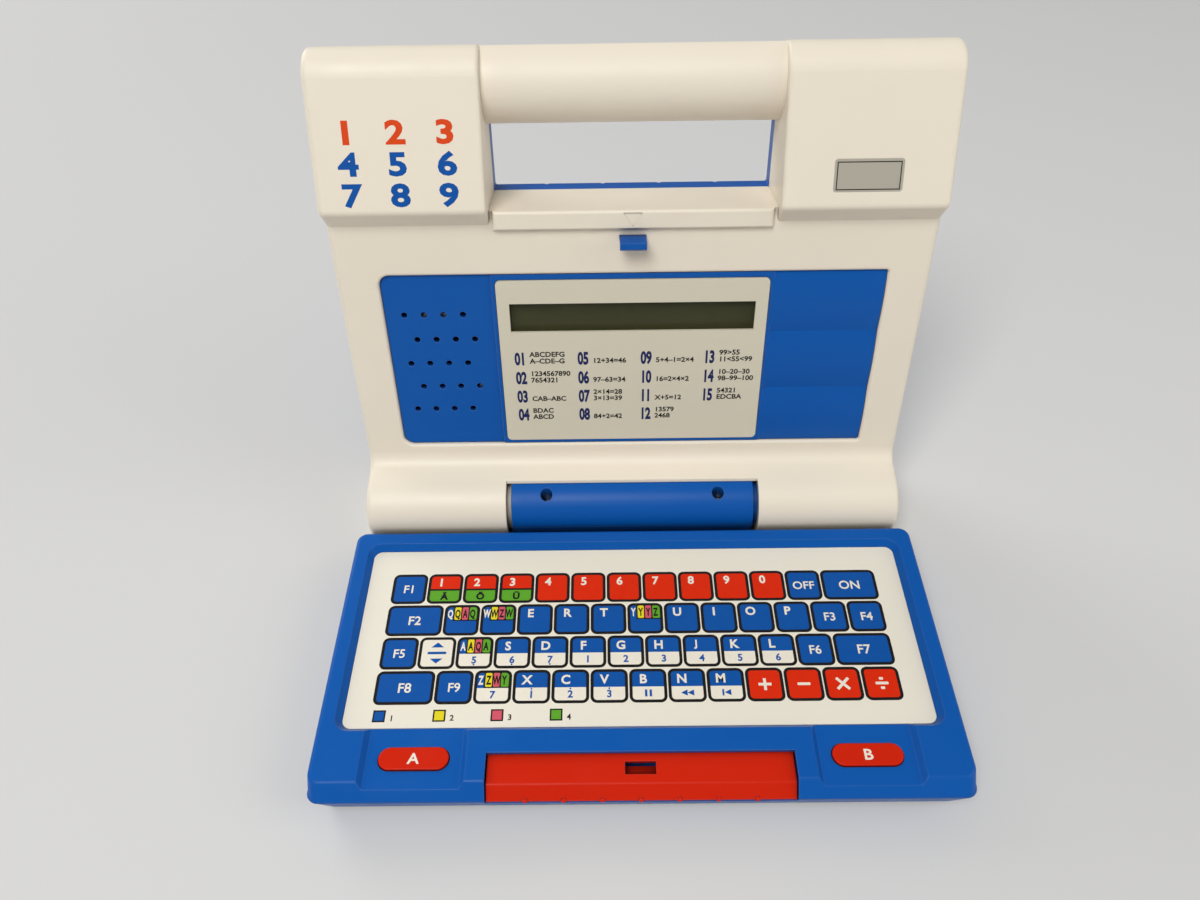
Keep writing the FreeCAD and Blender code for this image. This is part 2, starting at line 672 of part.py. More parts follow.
def base_bottom_case():
    solid = tapered(base_outline(BASE_TAPER, REAR_TAPER), FOOT_DROP, base_outline(0, 0), BASE_SEAM)
    solid = fillet(solid, BOTTOM_ROUND, lambda edge: all_points(edge, lambda p: near(p.z, FOOT_DROP)))
    solid = solid.cut(tapered(base_outline(BASE_TAPER + BASE_WALL, REAR_TAPER + BASE_WALL), BASE_INSIDE,
                              base_outline(BASE_WALL, BASE_WALL), BASE_SEAM))
    notch = LATCH_HALF + LATCH_SIDE_GAP
    solid = solid.cut(box(-notch, notch, BASE_TOE - LATCH_PROUD, DECK_FRONT + 2 * BASE_WALL,
                          LATCH_LOW - LATCH_GAP, BASE_SEAM))
    posts = []
    for x, y in base_boss_places():
        posts.append(upright(BOSS_RADIUS, x, y, FOOT_DROP, boss_joint()))
    for sign in (-1, 1):
        for end in (-1, 1):
            x = sign * BUTTON_X + end * (BUTTON_BOARD_LENGTH / 2 - POST_RADIUS)
            posts.append(upright(POST_RADIUS, x, BUTTON_Y, FOOT_DROP, button_board_top() - BOARD_THICK))
    for x, y in keyboard_board_places():
        posts.append(upright(POST_RADIUS, x, y, FOOT_DROP, keyboard_board_top() - BOARD_THICK))
    wall_half = SPRING_X + 3 * SPRING_RADIUS
    posts.append(box(-wall_half, wall_half, SPRING_WALL, SPRING_WALL + BASE_WALL, FOOT_DROP,
                     LATCH_TOP - LATCH_WALL - 2 * LATCH_GAP))
    for sign in (-1, 1):
        left, right = sorted((sign * (notch + LATCH_STOP_GAP), sign * (LATCH_HALF + LATCH_EAR)))
        stop_back = LATCH_REAR - LATCH_GAP
        posts.append(box(left, right, stop_back - LATCH_EAR_DEPTH, stop_back, FOOT_DROP,
                         LATCH_TOP - LATCH_WALL))
    barrel = axle(BARREL_RADIUS, -HALF_BARREL, HALF_BARREL, 0, AXIS_HEIGHT)
    inside = axle(BARREL_RADIUS - BARREL_WALL, -HALF_BARREL + BARREL_WALL, HALF_BARREL - BARREL_WALL, 0,
                  AXIS_HEIGHT)
    lower = box(-HALF_BARREL, HALF_BARREL, -BARREL_RADIUS, BARREL_RADIUS, 0, AXIS_HEIGHT)
    neck = box(-HALF_BARREL + BARREL_WALL, HALF_BARREL - BARREL_WALL, DECK_REAR - BASE_WALL,
               -COVER_SCREW_FORWARD, FOOT_DROP + BOTTOM_ROUND, NECK_HEIGHT)
    solid = joined([solid, barrel.common(lower), neck] + posts)
    solid = solid.cut(inside.common(lower))
    screw_posts = []
    for sign in (-1, 1):
        post = upright(BOSS_RADIUS, sign * COVER_SCREW_X, -COVER_SCREW_FORWARD, FOOT_DROP, AXIS_HEIGHT)
        screw_posts.append(post.common(barrel))
    solid = joined([solid] + screw_posts)
    for sign in (-1, 1):
        solid = solid.cut(upright(SCREW_RADIUS + SCREW_GAP, sign * COVER_SCREW_X, -COVER_SCREW_FORWARD,
                                  AXIS_HEIGHT - SCREW_BITE, AXIS_HEIGHT))
    passage = CABLE_RADIUS + CABLE_GAP
    solid = solid.cut(crosswise(passage, CABLE_X, cable_low(), DECK_REAR - 3 * BASE_WALL, 0))
    solid = solid.cut(axle(PIN_RADIUS, -HALF_BARREL, HALF_BARREL, 0, AXIS_HEIGHT))
    for x, y in base_boss_places():
        solid = solid.cut(upright(SCREW_RADIUS + 3 * SCREW_GAP, x, y, FOOT_DROP, boss_joint()))
        solid = solid.cut(upright(SCREW_HEAD + 3 * SCREW_GAP, x, y, FOOT_DROP, base_screw_seat()))
    for x, y in foot_places():
        solid = solid.cut(upright(FOOT_RADIUS, x, y, FOOT_DROP, FOOT_DROP + FOOT_SINK))
    return solid


def base_screw_seat():
    return boss_joint() - SCREW_SEAT


def cable_low():
    return FOOT_DROP + BOTTOM_ROUND + CABLE_LIFT + CABLE_RADIUS


def hinge_cover():
    barrel = axle(BARREL_RADIUS, -HALF_BARREL, HALF_BARREL, 0, AXIS_HEIGHT)
    upper = box(-HALF_BARREL, HALF_BARREL, -BARREL_RADIUS, BARREL_RADIUS, AXIS_HEIGHT,
                AXIS_HEIGHT + BARREL_RADIUS)
    inside = axle(BARREL_RADIUS - BARREL_WALL, -HALF_BARREL + BARREL_WALL, HALF_BARREL - BARREL_WALL, 0,
                  AXIS_HEIGHT)
    solid = barrel.common(upper).cut(inside)
    bosses = []
    for sign in (-1, 1):
        boss = upright(COVER_HOLE / 2 + COVER_BOSS_WALL, sign * COVER_SCREW_X, -COVER_SCREW_FORWARD,
                       AXIS_HEIGHT, AXIS_HEIGHT + BARREL_RADIUS)
        bosses.append(boss.common(barrel))
    solid = joined([solid] + bosses)
    for sign in (-1, 1):
        x = sign * COVER_SCREW_X
        solid = solid.cut(upright(SCREW_RADIUS + SCREW_GAP, x, -COVER_SCREW_FORWARD, AXIS_HEIGHT,
                                  AXIS_HEIGHT + COVER_SCREW_SEAT))
        solid = solid.cut(upright(COVER_HOLE / 2, x, -COVER_SCREW_FORWARD, AXIS_HEIGHT + COVER_SCREW_SEAT,
                                  AXIS_HEIGHT + BARREL_RADIUS))
    return solid.cut(axle(PIN_RADIUS, -HALF_BARREL, HALF_BARREL, 0, AXIS_HEIGHT))


def hinge_pin(sign):
    inner = HALF_BARREL - BARREL_WALL
    outer = KNUCKLE_INNER + BEARING_LENGTH
    pin = axle(PIN_RADIUS, inner - PIN_FLANGE, outer, 0, AXIS_HEIGHT)
    flange = axle(PIN_RADIUS + PIN_FLANGE, inner - PIN_FLANGE, inner, 0, AXIS_HEIGHT)
    pin = pin.fuse(flange).cut(axle(PIN_BORE, inner - PIN_FLANGE, outer, 0, AXIS_HEIGHT))
    return pin.removeSplitter() if sign > 0 else mirrored(pin.removeSplitter())


def latch_bar():
    half = LATCH_HALF
    break_y = DECK_FRONT - LATCH_PROUD / 2
    break_z = LATCH_TOP - LATCH_SLOPE
    toe_y = break_y - LATCH_DROP
    tongue = LATCH_REAR + LATCH_TONGUE
    outer = [(tongue, LATCH_TOP - LATCH_WALL, 0), (tongue, LATCH_TOP, 0), (LATCH_REAR, LATCH_TOP, 0),
             (break_y, break_z, LATCH_ROUND), (toe_y, LATCH_LOW, LATCH_TOE_ROUND), (LATCH_BACK, LATCH_LOW, 0),
             (LATCH_BACK, LATCH_TOP - LATCH_WALL, 0)]
    solid = along_x(outer, -half, half)
    inside = [(LATCH_BACK - LATCH_WALL, LATCH_LOW, 0),
              (LATCH_BACK - LATCH_WALL, LATCH_TOP - LATCH_SLOPE - LATCH_WALL, 0),
              (break_y + LATCH_WALL / 2, break_z - LATCH_WALL, 0),
              (toe_y + LATCH_DROP / 2 + LATCH_WALL / 2, LATCH_LOW, 0)]
    solid = solid.cut(along_x(inside, -half + LATCH_WALL, half - LATCH_WALL))
    solid = solid.cut(box(-SLOT_WIDTH / 2, SLOT_WIDTH / 2, SLOT_FRONT, SLOT_REAR, LATCH_LOW, LATCH_TOP))
    solid = solid.cut(box(-SLOT_WIDTH / 2, SLOT_WIDTH / 2, LATCH_BACK - LATCH_WALL, LATCH_BACK, LATCH_LOW,
                          LATCH_TOP - LATCH_WALL))
    ears = []
    for sign in (-1, 1):
        left, right = sorted((sign * (half - LATCH_WALL), sign * (half + LATCH_EAR)))
        ears.append(box(left, right, LATCH_REAR, LATCH_REAR + LATCH_EAR_DEPTH, LATCH_LOW + LATCH_WALL,
                        LATCH_TOP))
    bumps = []
    for index in range(GRIP_COUNT):
        x = (index - (GRIP_COUNT - 1) / 2) * GRIP_PITCH
        bumps.append(Part.makeSphere(GRIP_RADIUS, Vector(x, toe_y + GRIP_INSET, LATCH_LOW + GRIP_INSET)))
    floor = box(-SLOT_WIDTH / 2 - LATCH_WALL, SLOT_WIDTH / 2 + LATCH_WALL, toe_y + LATCH_DROP / 2, LATCH_BACK,
                LATCH_LOW, LATCH_LOW + SLOT_FLOOR)
    return joined([solid, floor] + ears + bumps)


def latch_spring(x):
    """A coil spring between the wall of the bottom case and the back of the latch bar."""
    pitch = (SPRING_LENGTH - SPRING_WIRE) / SPRING_TURNS
    helix = Part.makeHelix(pitch, pitch * SPRING_TURNS, SPRING_RADIUS - SPRING_WIRE / 2)
    start = Vector(SPRING_RADIUS - SPRING_WIRE / 2, 0, 0)
    ring = Part.Wire([Part.makeCircle(SPRING_WIRE / 2, start, Vector(0, 1, 0))])
    coil = Part.Wire(helix.Edges).makePipeShell([ring], True, True)
    coil.rotate(Vector(0, 0, 0), Vector(1, 0, 0), -90)
    coil.translate(Vector(x, LATCH_BACK + SPRING_WIRE / 2, spring_height()))
    return coil


def heel(y, shrink):
    """Height of the lid's standing face at a depth y, for an outline drawn in by shrink."""
    return (y * LEAN_SIN - (KNUCKLE_RADIUS - shrink)) / LEAN_COS


def ramp(y):
    angle = math.radians(RAMP_ANGLE)
    return (KNUCKLE_RADIUS + y * math.sin(angle)) / math.cos(angle)


def lid_side():
    """Side outline of the lid below the handle: standing face, knuckle, ramp, face and ledge."""
    front = -KNUCKLE_RADIUS
    return [(SEAM_BACK, heel(SEAM_BACK, 0), 0), (front, heel(front, 0), KNUCKLE_RADIUS),
            (front, ramp(front), KNUCKLE_RADIUS), (FACE_BACK, ramp(FACE_BACK), CREASE_RADIUS),
            (FACE_BACK, LEDGE_TOP, 0), (SEAM_BACK, LEDGE_TOP, 0)]


def block_line(z):
    """Depth of the block's sloping front at a height."""
    return BLOCK_FRONT + (z - BLOCK_EDGE) * BLOCK_LEAN


def top_line(y):
    """Height of the lid's top at a depth. The top falls towards the back."""
    return LID_TOP - (y - block_line(LID_TOP)) * TOP_FALL


def block_side():
    return [(SEAM_BACK, STEP_FOOT, 0), (FACE_BACK, STEP_FOOT, 0), (BLOCK_FRONT, BLOCK_EDGE, BLOCK_ROUND),
            (block_line(LID_TOP), LID_TOP, BLOCK_TOP_ROUND), (SEAM_BACK, top_line(SEAM_BACK), 0)]


def lid_screw_places():
    heights = (LID_SCREW_LOW, STEP_FOOT - 2 * BOSS_RADIUS, LID_TOP - 5 * BOSS_RADIUS)
    return [(x, z) for x in (-LID_SCREW_X, LID_SCREW_X) for z in heights]


def lid_front(z):
    """Depth of the lid's front surface at a height above the knuckle."""
    if z < ramp(FACE_BACK):
        angle = math.radians(RAMP_ANGLE)
        return (z * math.cos(angle) - KNUCKLE_RADIUS) / math.sin(angle)
    if z < STEP_FOOT:
        return FACE_BACK
    return block_line(z)


def lid_front_shell():
    body = along_x(lid_side(), -HALF_LID, HALF_LID)
    outer_edge = lambda edge: all_points(edge, lambda p: near(abs(p.x), HALF_LID)) and not all_points(
        edge, lambda p: near(p.y, SEAM_BACK)) and not all_points(edge, lambda p: near(p.z, LEDGE_TOP))
    body = fillet(body, LID_EDGE_ROUND, outer_edge)
    block = along_x(block_side(), BLOCK_INNER, HALF_LID)
    for side, radius in ((HALF_LID, LID_EDGE_ROUND), (BLOCK_INNER, BLOCK_INNER_ROUND)):
        block = fillet(block, radius, lambda edge: all_points(
            edge, lambda p: near(p.x, side)) and not all_points(
            edge, lambda p: near(p.y, SEAM_BACK)) and not all_points(edge, lambda p: near(p.z, STEP_FOOT)))
    half_ledge = BLOCK_INNER - LEDGE_INSET
    ledge_front = FACE_BACK - LEDGE_RISE
    ledge = along_x([(FACE_BACK + LID_WALL, LEDGE_FOOT, 0), (FACE_BACK, LEDGE_FOOT, 0),
                     (ledge_front, LEDGE_FOOT + LEDGE_RISE / 2, LEDGE_ROUND / 2),
                     (ledge_front, LEDGE_TOP, LEDGE_ROUND),
                     (FACE_BACK + LID_WALL, LEDGE_TOP, 0)], -half_ledge, half_ledge)
    ledge_plan = [(-half_ledge, FACE_BACK + LID_WALL, 0), (-half_ledge, ledge_front, LEDGE_END_ROUND),
                  (half_ledge, ledge_front, LEDGE_END_ROUND), (half_ledge, FACE_BACK + LID_WALL, 0)]
    ledge = ledge.common(along_z(ledge_plan, LEDGE_FOOT, LEDGE_TOP))
    half_bar = BLOCK_INNER + BLOCK_INNER_ROUND
    bar = handle_bar(BAR_STEP, BAR_RADIUS, half_bar)
    solid = joined([body, block, mirrored(block), ledge, bar])
    lid_open = [LID_WALL, LID_WALL, LID_WALL, LID_WALL, LID_WALL, 0]
    inner_side = inset(lid_side(), lid_open)
    for sign in (-1, 1):
        left, right = sorted((sign * (KNUCKLE_INNER + LID_WALL), sign * (HALF_LID - LID_WALL)))
        solid = solid.cut(along_x(inner_side, left, right))
        block_hollow = inset(block_side(), [0, LID_WALL, LID_WALL, LID_WALL, 0])
        left, right = sorted((sign * (BLOCK_INNER + LID_WALL), sign * (HALF_LID - LID_WALL)))
        solid = solid.cut(along_x(block_hollow, left, right))
        solid = solid.cut(box(left, right, FACE_INSIDE, SEAM_BACK, LEDGE_FOOT, STEP_FOOT + LID_WALL))
    well = BARREL_RADIUS + BARREL_GAP
    middle = [(FACE_INSIDE, well + 2 * LID_WALL, 0), (FACE_INSIDE, LEDGE_TOP - LID_WALL, 0),
              (SEAM_BACK, LEDGE_TOP - LID_WALL, 0), (SEAM_BACK, heel(SEAM_BACK, LID_WALL), 0),
              (well + LID_WALL, heel(well + LID_WALL, LID_WALL), 0),
              (well + LID_WALL, well + 2 * LID_WALL, 0)]
    solid = solid.cut(along_x(middle, -KNUCKLE_INNER - LID_WALL, KNUCKLE_INNER + LID_WALL))
    solid = solid.cut(handle_bar(BAR_STEP + LID_WALL, BAR_RADIUS - LID_WALL, half_bar))
    solid = solid.cut(axle(well, -KNUCKLE_INNER, KNUCKLE_INNER, 0, 0))
    solid = solid.cut(box(-KNUCKLE_INNER, KNUCKLE_INNER, -2 * KNUCKLE_RADIUS, -LIP_REACH, -2 * KNUCKLE_RADIUS,
                          2 * KNUCKLE_RADIUS))
    solid = solid.cut(box(-KNUCKLE_INNER, KNUCKLE_INNER, -2 * KNUCKLE_RADIUS, well, -2 * KNUCKLE_RADIUS, 0))
    solid = solid.cut(along_y(panel_outline(SURROUND_GAP), FACE_BACK, FACE_INSIDE))
    opening = Part.Face(rounded_wire([(Vector(x, FACE_BACK, z), radius)
                                      for x, z, radius in panel_outline(SURROUND_GAP)]))
    solid = fillet(solid, OPENING_ROUND, lambda edge: all_points(
        edge, lambda p: opening.isInside(p, 1e-4, True)))
    hook_half = HOOK_WIDTH / 2 + HOOK_GAP
    solid = solid.cut(box(-hook_half, hook_half, FACE_BACK, FACE_INSIDE, HOOK_HEIGHT - HOOK_GAP,
                          HOOK_TOP + HOOK_GAP))
    additions = []
    for sign in (-1, 1):
        left, right = sorted((sign * KNUCKLE_INNER, sign * (KNUCKLE_INNER + BEARING_LENGTH)))
        additions.append(axle(PIN_RADIUS + BEARING_WALL, left, right, 0, 0))
    for x, z in lid_screw_places():
        front = lid_front(z + BOSS_RADIUS) + LID_WALL / 2
        additions.append(crosswise(BOSS_RADIUS, x, z, front, SEAM_BACK))
    solid = joined([solid] + additions)
    solid = solid.cut(axle(PIN_RADIUS + PIN_GAP, -HALF_LID / 1.5, HALF_LID / 1.5, 0, 0))
    for x, z in lid_screw_places():
        solid = solid.cut(crosswise(SCREW_RADIUS + SCREW_GAP, x, z, SEAM_BACK - SCREW_BITE, SEAM_BACK))
    return solid.cut(name_plate()).cut(ledge_arrow())


def handle_bar(step, radius, half_length):
    """The round bar between the blocks, kept a step behind the blocks' own front and top."""
    limit = along_x(inset(block_side(), [0, step, step, step, 0]), -half_length, half_length)
    return axle(radius, -half_length, half_length, BAR_BACK, BAR_HEIGHT).common(limit)


def ledge_arrow():
    """The arrow sunk into the front of the ledge, pointing down at the hook."""
    top = LEDGE_TOP - ARROW_DROP
    front = FACE_BACK - LEDGE_RISE
    corners = [(-ARROW_WIDTH / 2, top, 0), (ARROW_WIDTH / 2, top, 0), (0, top - ARROW_HEIGHT, 0)]
    return along_y(corners, front, front + ARROW_DEPTH)


def name_plate():
    plate = along_y(rectangle(-NAME_LENGTH / 2, NAME_LENGTH / 2, -NAME_WIDTH / 2, NAME_WIDTH / 2,
                              NAME_CORNER), 0, NAME_THICK)
    plate.rotate(Vector(0, 0, 0), Vector(1, 0, 0), -BLOCK_TILT)
    plate.translate(Vector(NAME_X, block_line(NAME_HEIGHT), NAME_HEIGHT))
    return plate


def back_side():
    """Side outline of the back cover."""
    return [(SEAM_BACK, heel(SEAM_BACK, 0), 0), (LID_BACK, heel(LID_BACK, 0), 0),
            (LID_BACK, top_line(LID_BACK), 0), (SEAM_BACK, top_line(SEAM_BACK), 0)]


def lid_back_cover():
    solid = along_x(back_side(), -HALF_LID, HALF_LID)
    solid = fillet(solid, BACK_EDGE_ROUND, lambda edge: all_points(edge, lambda p: near(p.y, LID_BACK)))
    hollow = along_x(inset(back_side(), [LID_WALL, LID_WALL, LID_WALL, 0]), -HALF_LID + LID_WALL,
                     HALF_LID - LID_WALL)
    frame = box(-BLOCK_INNER - LID_WALL, BLOCK_INNER + LID_WALL, SEAM_BACK, LID_BACK, LEDGE_TOP - LID_WALL,
                BAR_LOW + LID_WALL)
    solid = solid.cut(hollow.cut(frame))
    solid = solid.cut(along_y(rectangle(-BLOCK_INNER, BLOCK_INNER, LEDGE_TOP, BAR_LOW, HAND_CORNER),
                              SEAM_BACK, LID_BACK))
    for index in range(GROOVE_COUNT):
        x = (index - (GROOVE_COUNT - 1) / 2) * GROOVE_PITCH
        solid = solid.cut(box(x - GROOVE_WIDTH / 2, x + GROOVE_WIDTH / 2, LID_BACK - GROOVE_DEPTH, LID_BACK,
                              -KNUCKLE_RADIUS, LID_TOP))
    walls = box(BOX_LEFT - BOX_WALL, BOX_RIGHT + BOX_WALL, BOX_FRONT - BOX_WALL, COVER_INSIDE,
                BOX_LOW - BOX_WALL, BOX_HIGH + BOX_WALL)
    bosses = []
    for x, z in lid_screw_places():
        bosses.append(crosswise(BOSS_RADIUS, x, z, SEAM_BACK, COVER_INSIDE + LID_WALL / 2))
    door_post = crosswise(BOSS_RADIUS, CELL_MIDDLE_X, door_screw_height(), door_post_front(), COVER_INSIDE)
    solid = joined([solid, walls, door_post] + bosses)
    solid = solid.cut(box(BOX_LEFT, BOX_RIGHT, BOX_FRONT, LID_BACK, BOX_LOW, BOX_HIGH))
    solid = solid.cut(along_y(door_outline(DOOR_GAP), LID_BACK - DOOR_THICK, LID_BACK))
    solid = solid.cut(crosswise(SCREW_RADIUS + SCREW_GAP, CELL_MIDDLE_X, door_screw_height(),
                                door_post_front(), LID_BACK))
    for x, z in lid_screw_places():
        solid = solid.cut(crosswise(SCREW_RADIUS + 3 * SCREW_GAP, x, z, SEAM_BACK, LID_BACK))
        solid = solid.cut(crosswise(SCREW_HEAD + 3 * SCREW_GAP, x, z, lid_screw_seat(), LID_BACK))
    return solid


def lid_screw_seat():
    return LID_BACK - SCREW_HEAD_THICK - SCREW_SEAT


def door_screw_height():
    return BOX_LOW - BOX_WALL - BOSS_RADIUS - DOOR_GAP


def door_post_front():
    return LID_BACK - DOOR_THICK - SCREW_BITE


def door_outline(extra):
    low = door_screw_height() - SCREW_HEAD - DOOR_THICK
    return rectangle(BOX_LEFT - extra, BOX_RIGHT + extra, low - extra, BOX_HIGH + BOX_WALL + extra,
                     DOOR_CORNER)


def battery_door():
    door = along_y(door_outline(0), LID_BACK - DOOR_THICK, LID_BACK)
    x, z = CELL_MIDDLE_X, door_screw_height()
    door = door.cut(crosswise(SCREW_RADIUS + 3 * SCREW_GAP, x, z, LID_BACK - DOOR_THICK, LID_BACK))
    return door.cut(crosswise(SCREW_HEAD + 3 * SCREW_GAP, x, z, LID_BACK - DOOR_THICK / 2, LID_BACK))


def cell_places():
    return [(CELL_MIDDLE_X + (index - (CELL_COUNT - 1) / 2) * CELL_PITCH, index)
            for index in range(CELL_COUNT)]


def battery_cell(x, index):
    low = CELL_LOW if index % 2 == 0 else CELL_LOW - CONTACT_SPRING + NIPPLE_LENGTH
    body = upright(CELL_DIAMETER / 2, x, CELL_AXIS, low, low + CELL_LENGTH)
    nipple_low = low + CELL_LENGTH if index % 2 == 0 else low - NIPPLE_LENGTH
    nipple = upright(NIPPLE_RADIUS, x, CELL_AXIS, nipple_low, nipple_low + NIPPLE_LENGTH)
    return body.fuse(nipple).removeSplitter()


def battery_spring(x, index):
    """A cone spring, as its outer form, between the flat end of a cell and its contact."""
    low = BOX_LOW + CONTACT_THICK
    wide = CELL_DIAMETER / 3
    narrow = CELL_DIAMETER / 5
    thick = CONTACT_SPRING_THICK
    if index % 2 == 0:
        outer = Part.makeCone(wide, narrow, CONTACT_SPRING, Vector(x, CELL_AXIS, low))
        inner = Part.makeCone(wide - thick, narrow - thick, CONTACT_SPRING, Vector(x, CELL_AXIS, low))
        return outer.cut(inner)
    top = BOX_HIGH - CONTACT_THICK
    outer = Part.makeCone(narrow, wide, CONTACT_SPRING, Vector(x, CELL_AXIS, top - CONTACT_SPRING))
    inner = Part.makeCone(narrow - thick, wide - thick, CONTACT_SPRING,
                          Vector(x, CELL_AXIS, top - CONTACT_SPRING))
    return outer.cut(inner)


def battery_contact(x, low):
    half = CELL_DIAMETER / 2 - CONTACT_INSET
    return box(x - half, x + half, CELL_AXIS - half, CELL_AXIS + half, low, low + CONTACT_THICK)


def panel_outline(grow):
    """Outline of the screen panel, grown by a margin. The corners beside the cushions are tight."""
    half = SURROUND_WIDTH / 2 + grow
    low = SURROUND_LOW - grow
    high = SURROUND_HIGH + grow
    return [(-half, low, SURROUND_CORNER), (half, low, TIGHT_CORNER), (half, high, TIGHT_CORNER),
            (-half, high, SURROUND_CORNER)]


def facet(left, right, low, high):
    """One of the shallow cushions beside the screen, bulging forward between two heights."""
    edge = SURROUND_FRONT - FACET_BASE
    foot = SURROUND_FRONT + FACET_SINK
    first = Vector(left, edge, low)
    last = Vector(left, edge, high)
    bulge = Part.Arc(first, Vector(left, SURROUND_FRONT - FACET_RISE, (low + high) / 2), last).toShape()
    rest = Part.makePolygon([last, Vector(left, foot, high), Vector(left, foot, low), first])
    return Part.Face(Part.Wire([bulge] + rest.Edges)).extrude(Vector(right - left, 0, 0))


def screen_surround():
    half = SURROUND_WIDTH / 2
    plate = along_y(panel_outline(0), SURROUND_FRONT, SURROUND_BACK)
    inside_outline = along_y(panel_outline(0), SURROUND_FRONT - FACET_RISE, SURROUND_BACK)
    flange = along_y(rectangle(-half - SURROUND_LIP, half + SURROUND_LIP, SURROUND_LOW - SURROUND_LIP,
                               SURROUND_HIGH + SURROUND_LIP, SURROUND_CORNER), FACE_INSIDE, SURROUND_BACK)
    frame = along_y(rectangle(-FRAME_WIDTH / 2, FRAME_WIDTH / 2, SURROUND_LOW, SURROUND_HIGH, FRAME_CORNER),
                    SURROUND_FRONT - FRAME_RISE, SURROUND_BACK)
    parts = [plate, flange, frame]
    facet_height = (SURROUND_HIGH - SURROUND_LOW) / FACET_COUNT
    for index in range(FACET_COUNT):
        low = SURROUND_LOW + index * facet_height
        cushion = facet(FRAME_WIDTH / 2 - FRAME_CORNER, half, low, low + facet_height)
        parts.append(cushion.common(inside_outline))
    parts.append(speaker_ring())
    for x, z in board_post_places():
        parts.append(crosswise(POST_RADIUS, x, z, FACE_INSIDE, BOARD_FRONT))
    solid = joined(parts)
    solid = solid.cut(along_y(rectangle(-PLATE_WIDTH / 2 - SURROUND_GAP, PLATE_WIDTH / 2 + SURROUND_GAP,
                                        PLATE_LOW - SURROUND_GAP, PLATE_HIGH + SURROUND_GAP, PLATE_CORNER),
                              SURROUND_FRONT - FRAME_RISE, PLATE_BACK))
    pane = WINDOW_WIDTH / 2 + WINDOW_LAP
    solid = solid.cut(along_y(rectangle(-pane, pane, WINDOW_LOW - WINDOW_LAP, WINDOW_HIGH + WINDOW_LAP),
                              PLATE_BACK, SURROUND_BACK))
    for x, z in speaker_hole_places():
        solid = solid.cut(crosswise(HOLE_DIAMETER / 2, x, z, SURROUND_FRONT, SURROUND_BACK))
    for x, z in board_post_places():
        solid = solid.cut(crosswise(SCREW_RADIUS + SCREW_GAP, x, z, FACE_INSIDE + POST_FLOOR, BOARD_FRONT))
    return solid


def speaker_ring():
    outer = crosswise(SPEAKER_RADIUS + BOX_WALL + SURROUND_GAP, SPEAKER_X, SPEAKER_HEIGHT, FACE_INSIDE,
                      SURROUND_BACK + 2 * SPEAKER_FLANGE)
    inner = crosswise(SPEAKER_RADIUS + SURROUND_GAP, SPEAKER_X, SPEAKER_HEIGHT, SURROUND_BACK,
                      SURROUND_BACK + 2 * SPEAKER_FLANGE)
    return outer.cut(inner)


def speaker_hole_places():
    places = []
    for row in range(HOLE_ROWS):
        z = SPEAKER_HEIGHT + (row - (HOLE_ROWS - 1) / 2) * HOLE_ROW_PITCH
        shift = HOLE_STAGGER / 2 if row % 2 else -HOLE_STAGGER / 2
        for column in range(HOLES_PER_ROW):
            x = SPEAKER_X + HOLE_SHIFT + shift + (column - (HOLES_PER_ROW - 1) / 2) * HOLE_PITCH
            places.append((x, z))
    return places


def board_post_places():
    side = MAIN_BOARD_WIDTH / 2 - POST_INSET
    return [(x, z) for x in (-side, side) for z in (MAIN_BOARD_LOW + POST_INSET, WINDOW_LOW - 3 * POST_INSET)]


def screen_plate():
    plate = along_y(rectangle(-PLATE_WIDTH / 2, PLATE_WIDTH / 2, PLATE_LOW, PLATE_HIGH,
                              PLATE_CORNER - SURROUND_GAP), PLATE_FRONT, PLATE_BACK)
    window = along_y(rectangle(-WINDOW_WIDTH / 2, WINDOW_WIDTH / 2, WINDOW_LOW, WINDOW_HIGH),
                     PLATE_FRONT, PLATE_BACK)
    return plate.cut(window)


def screen_window():
    half = WINDOW_WIDTH / 2 + WINDOW_LAP - SHEET_GAP
    lap = WINDOW_LAP - SHEET_GAP
    return along_y(rectangle(-half, half, WINDOW_LOW - lap, WINDOW_HIGH + lap), PLATE_BACK, SURROUND_BACK)


def display_glass():
    half = WINDOW_WIDTH / 2 + GLASS_LAP
    return along_y(rectangle(-half, half, WINDOW_LOW - GLASS_LAP, WINDOW_HIGH + GLASS_LAP), SURROUND_BACK,
                   SURROUND_BACK + GLASS_THICK)


def display_frame():
    inner = WINDOW_WIDTH / 2 + GLASS_LAP + SHEET_GAP
    lap = GLASS_LAP + SHEET_GAP
    wall = DISPLAY_FRAME_WALL
    ring = along_y(rectangle(-inner - wall, inner + wall, WINDOW_LOW - lap - wall,
                             WINDOW_HIGH + lap + wall, FRAME_CORNER), SURROUND_BACK, BOARD_FRONT)
    return ring.cut(along_y(rectangle(-inner, inner, WINDOW_LOW - lap, WINDOW_HIGH + lap), SURROUND_BACK,
                            BOARD_FRONT))


def display_strips():
    half = WINDOW_WIDTH / 2
    strips = []
    for low in (WINDOW_LOW - GLASS_LAP, WINDOW_HIGH + GLASS_LAP - STRIP_HEIGHT):
        strips.append(box(-half, half, SURROUND_BACK + GLASS_THICK, BOARD_FRONT, low, low + STRIP_HEIGHT))
    return strips


def main_board():
    half = MAIN_BOARD_WIDTH / 2
    board = along_y(rectangle(-half, half, MAIN_BOARD_LOW, MAIN_BOARD_HIGH, BOARD_CORNER), BOARD_FRONT,
                    BOARD_BACK)
    for x, z in board_post_places():
        board = board.cut(crosswise(SCREW_RADIUS + 2 * SCREW_GAP, x, z, BOARD_FRONT, BOARD_BACK))
    return board


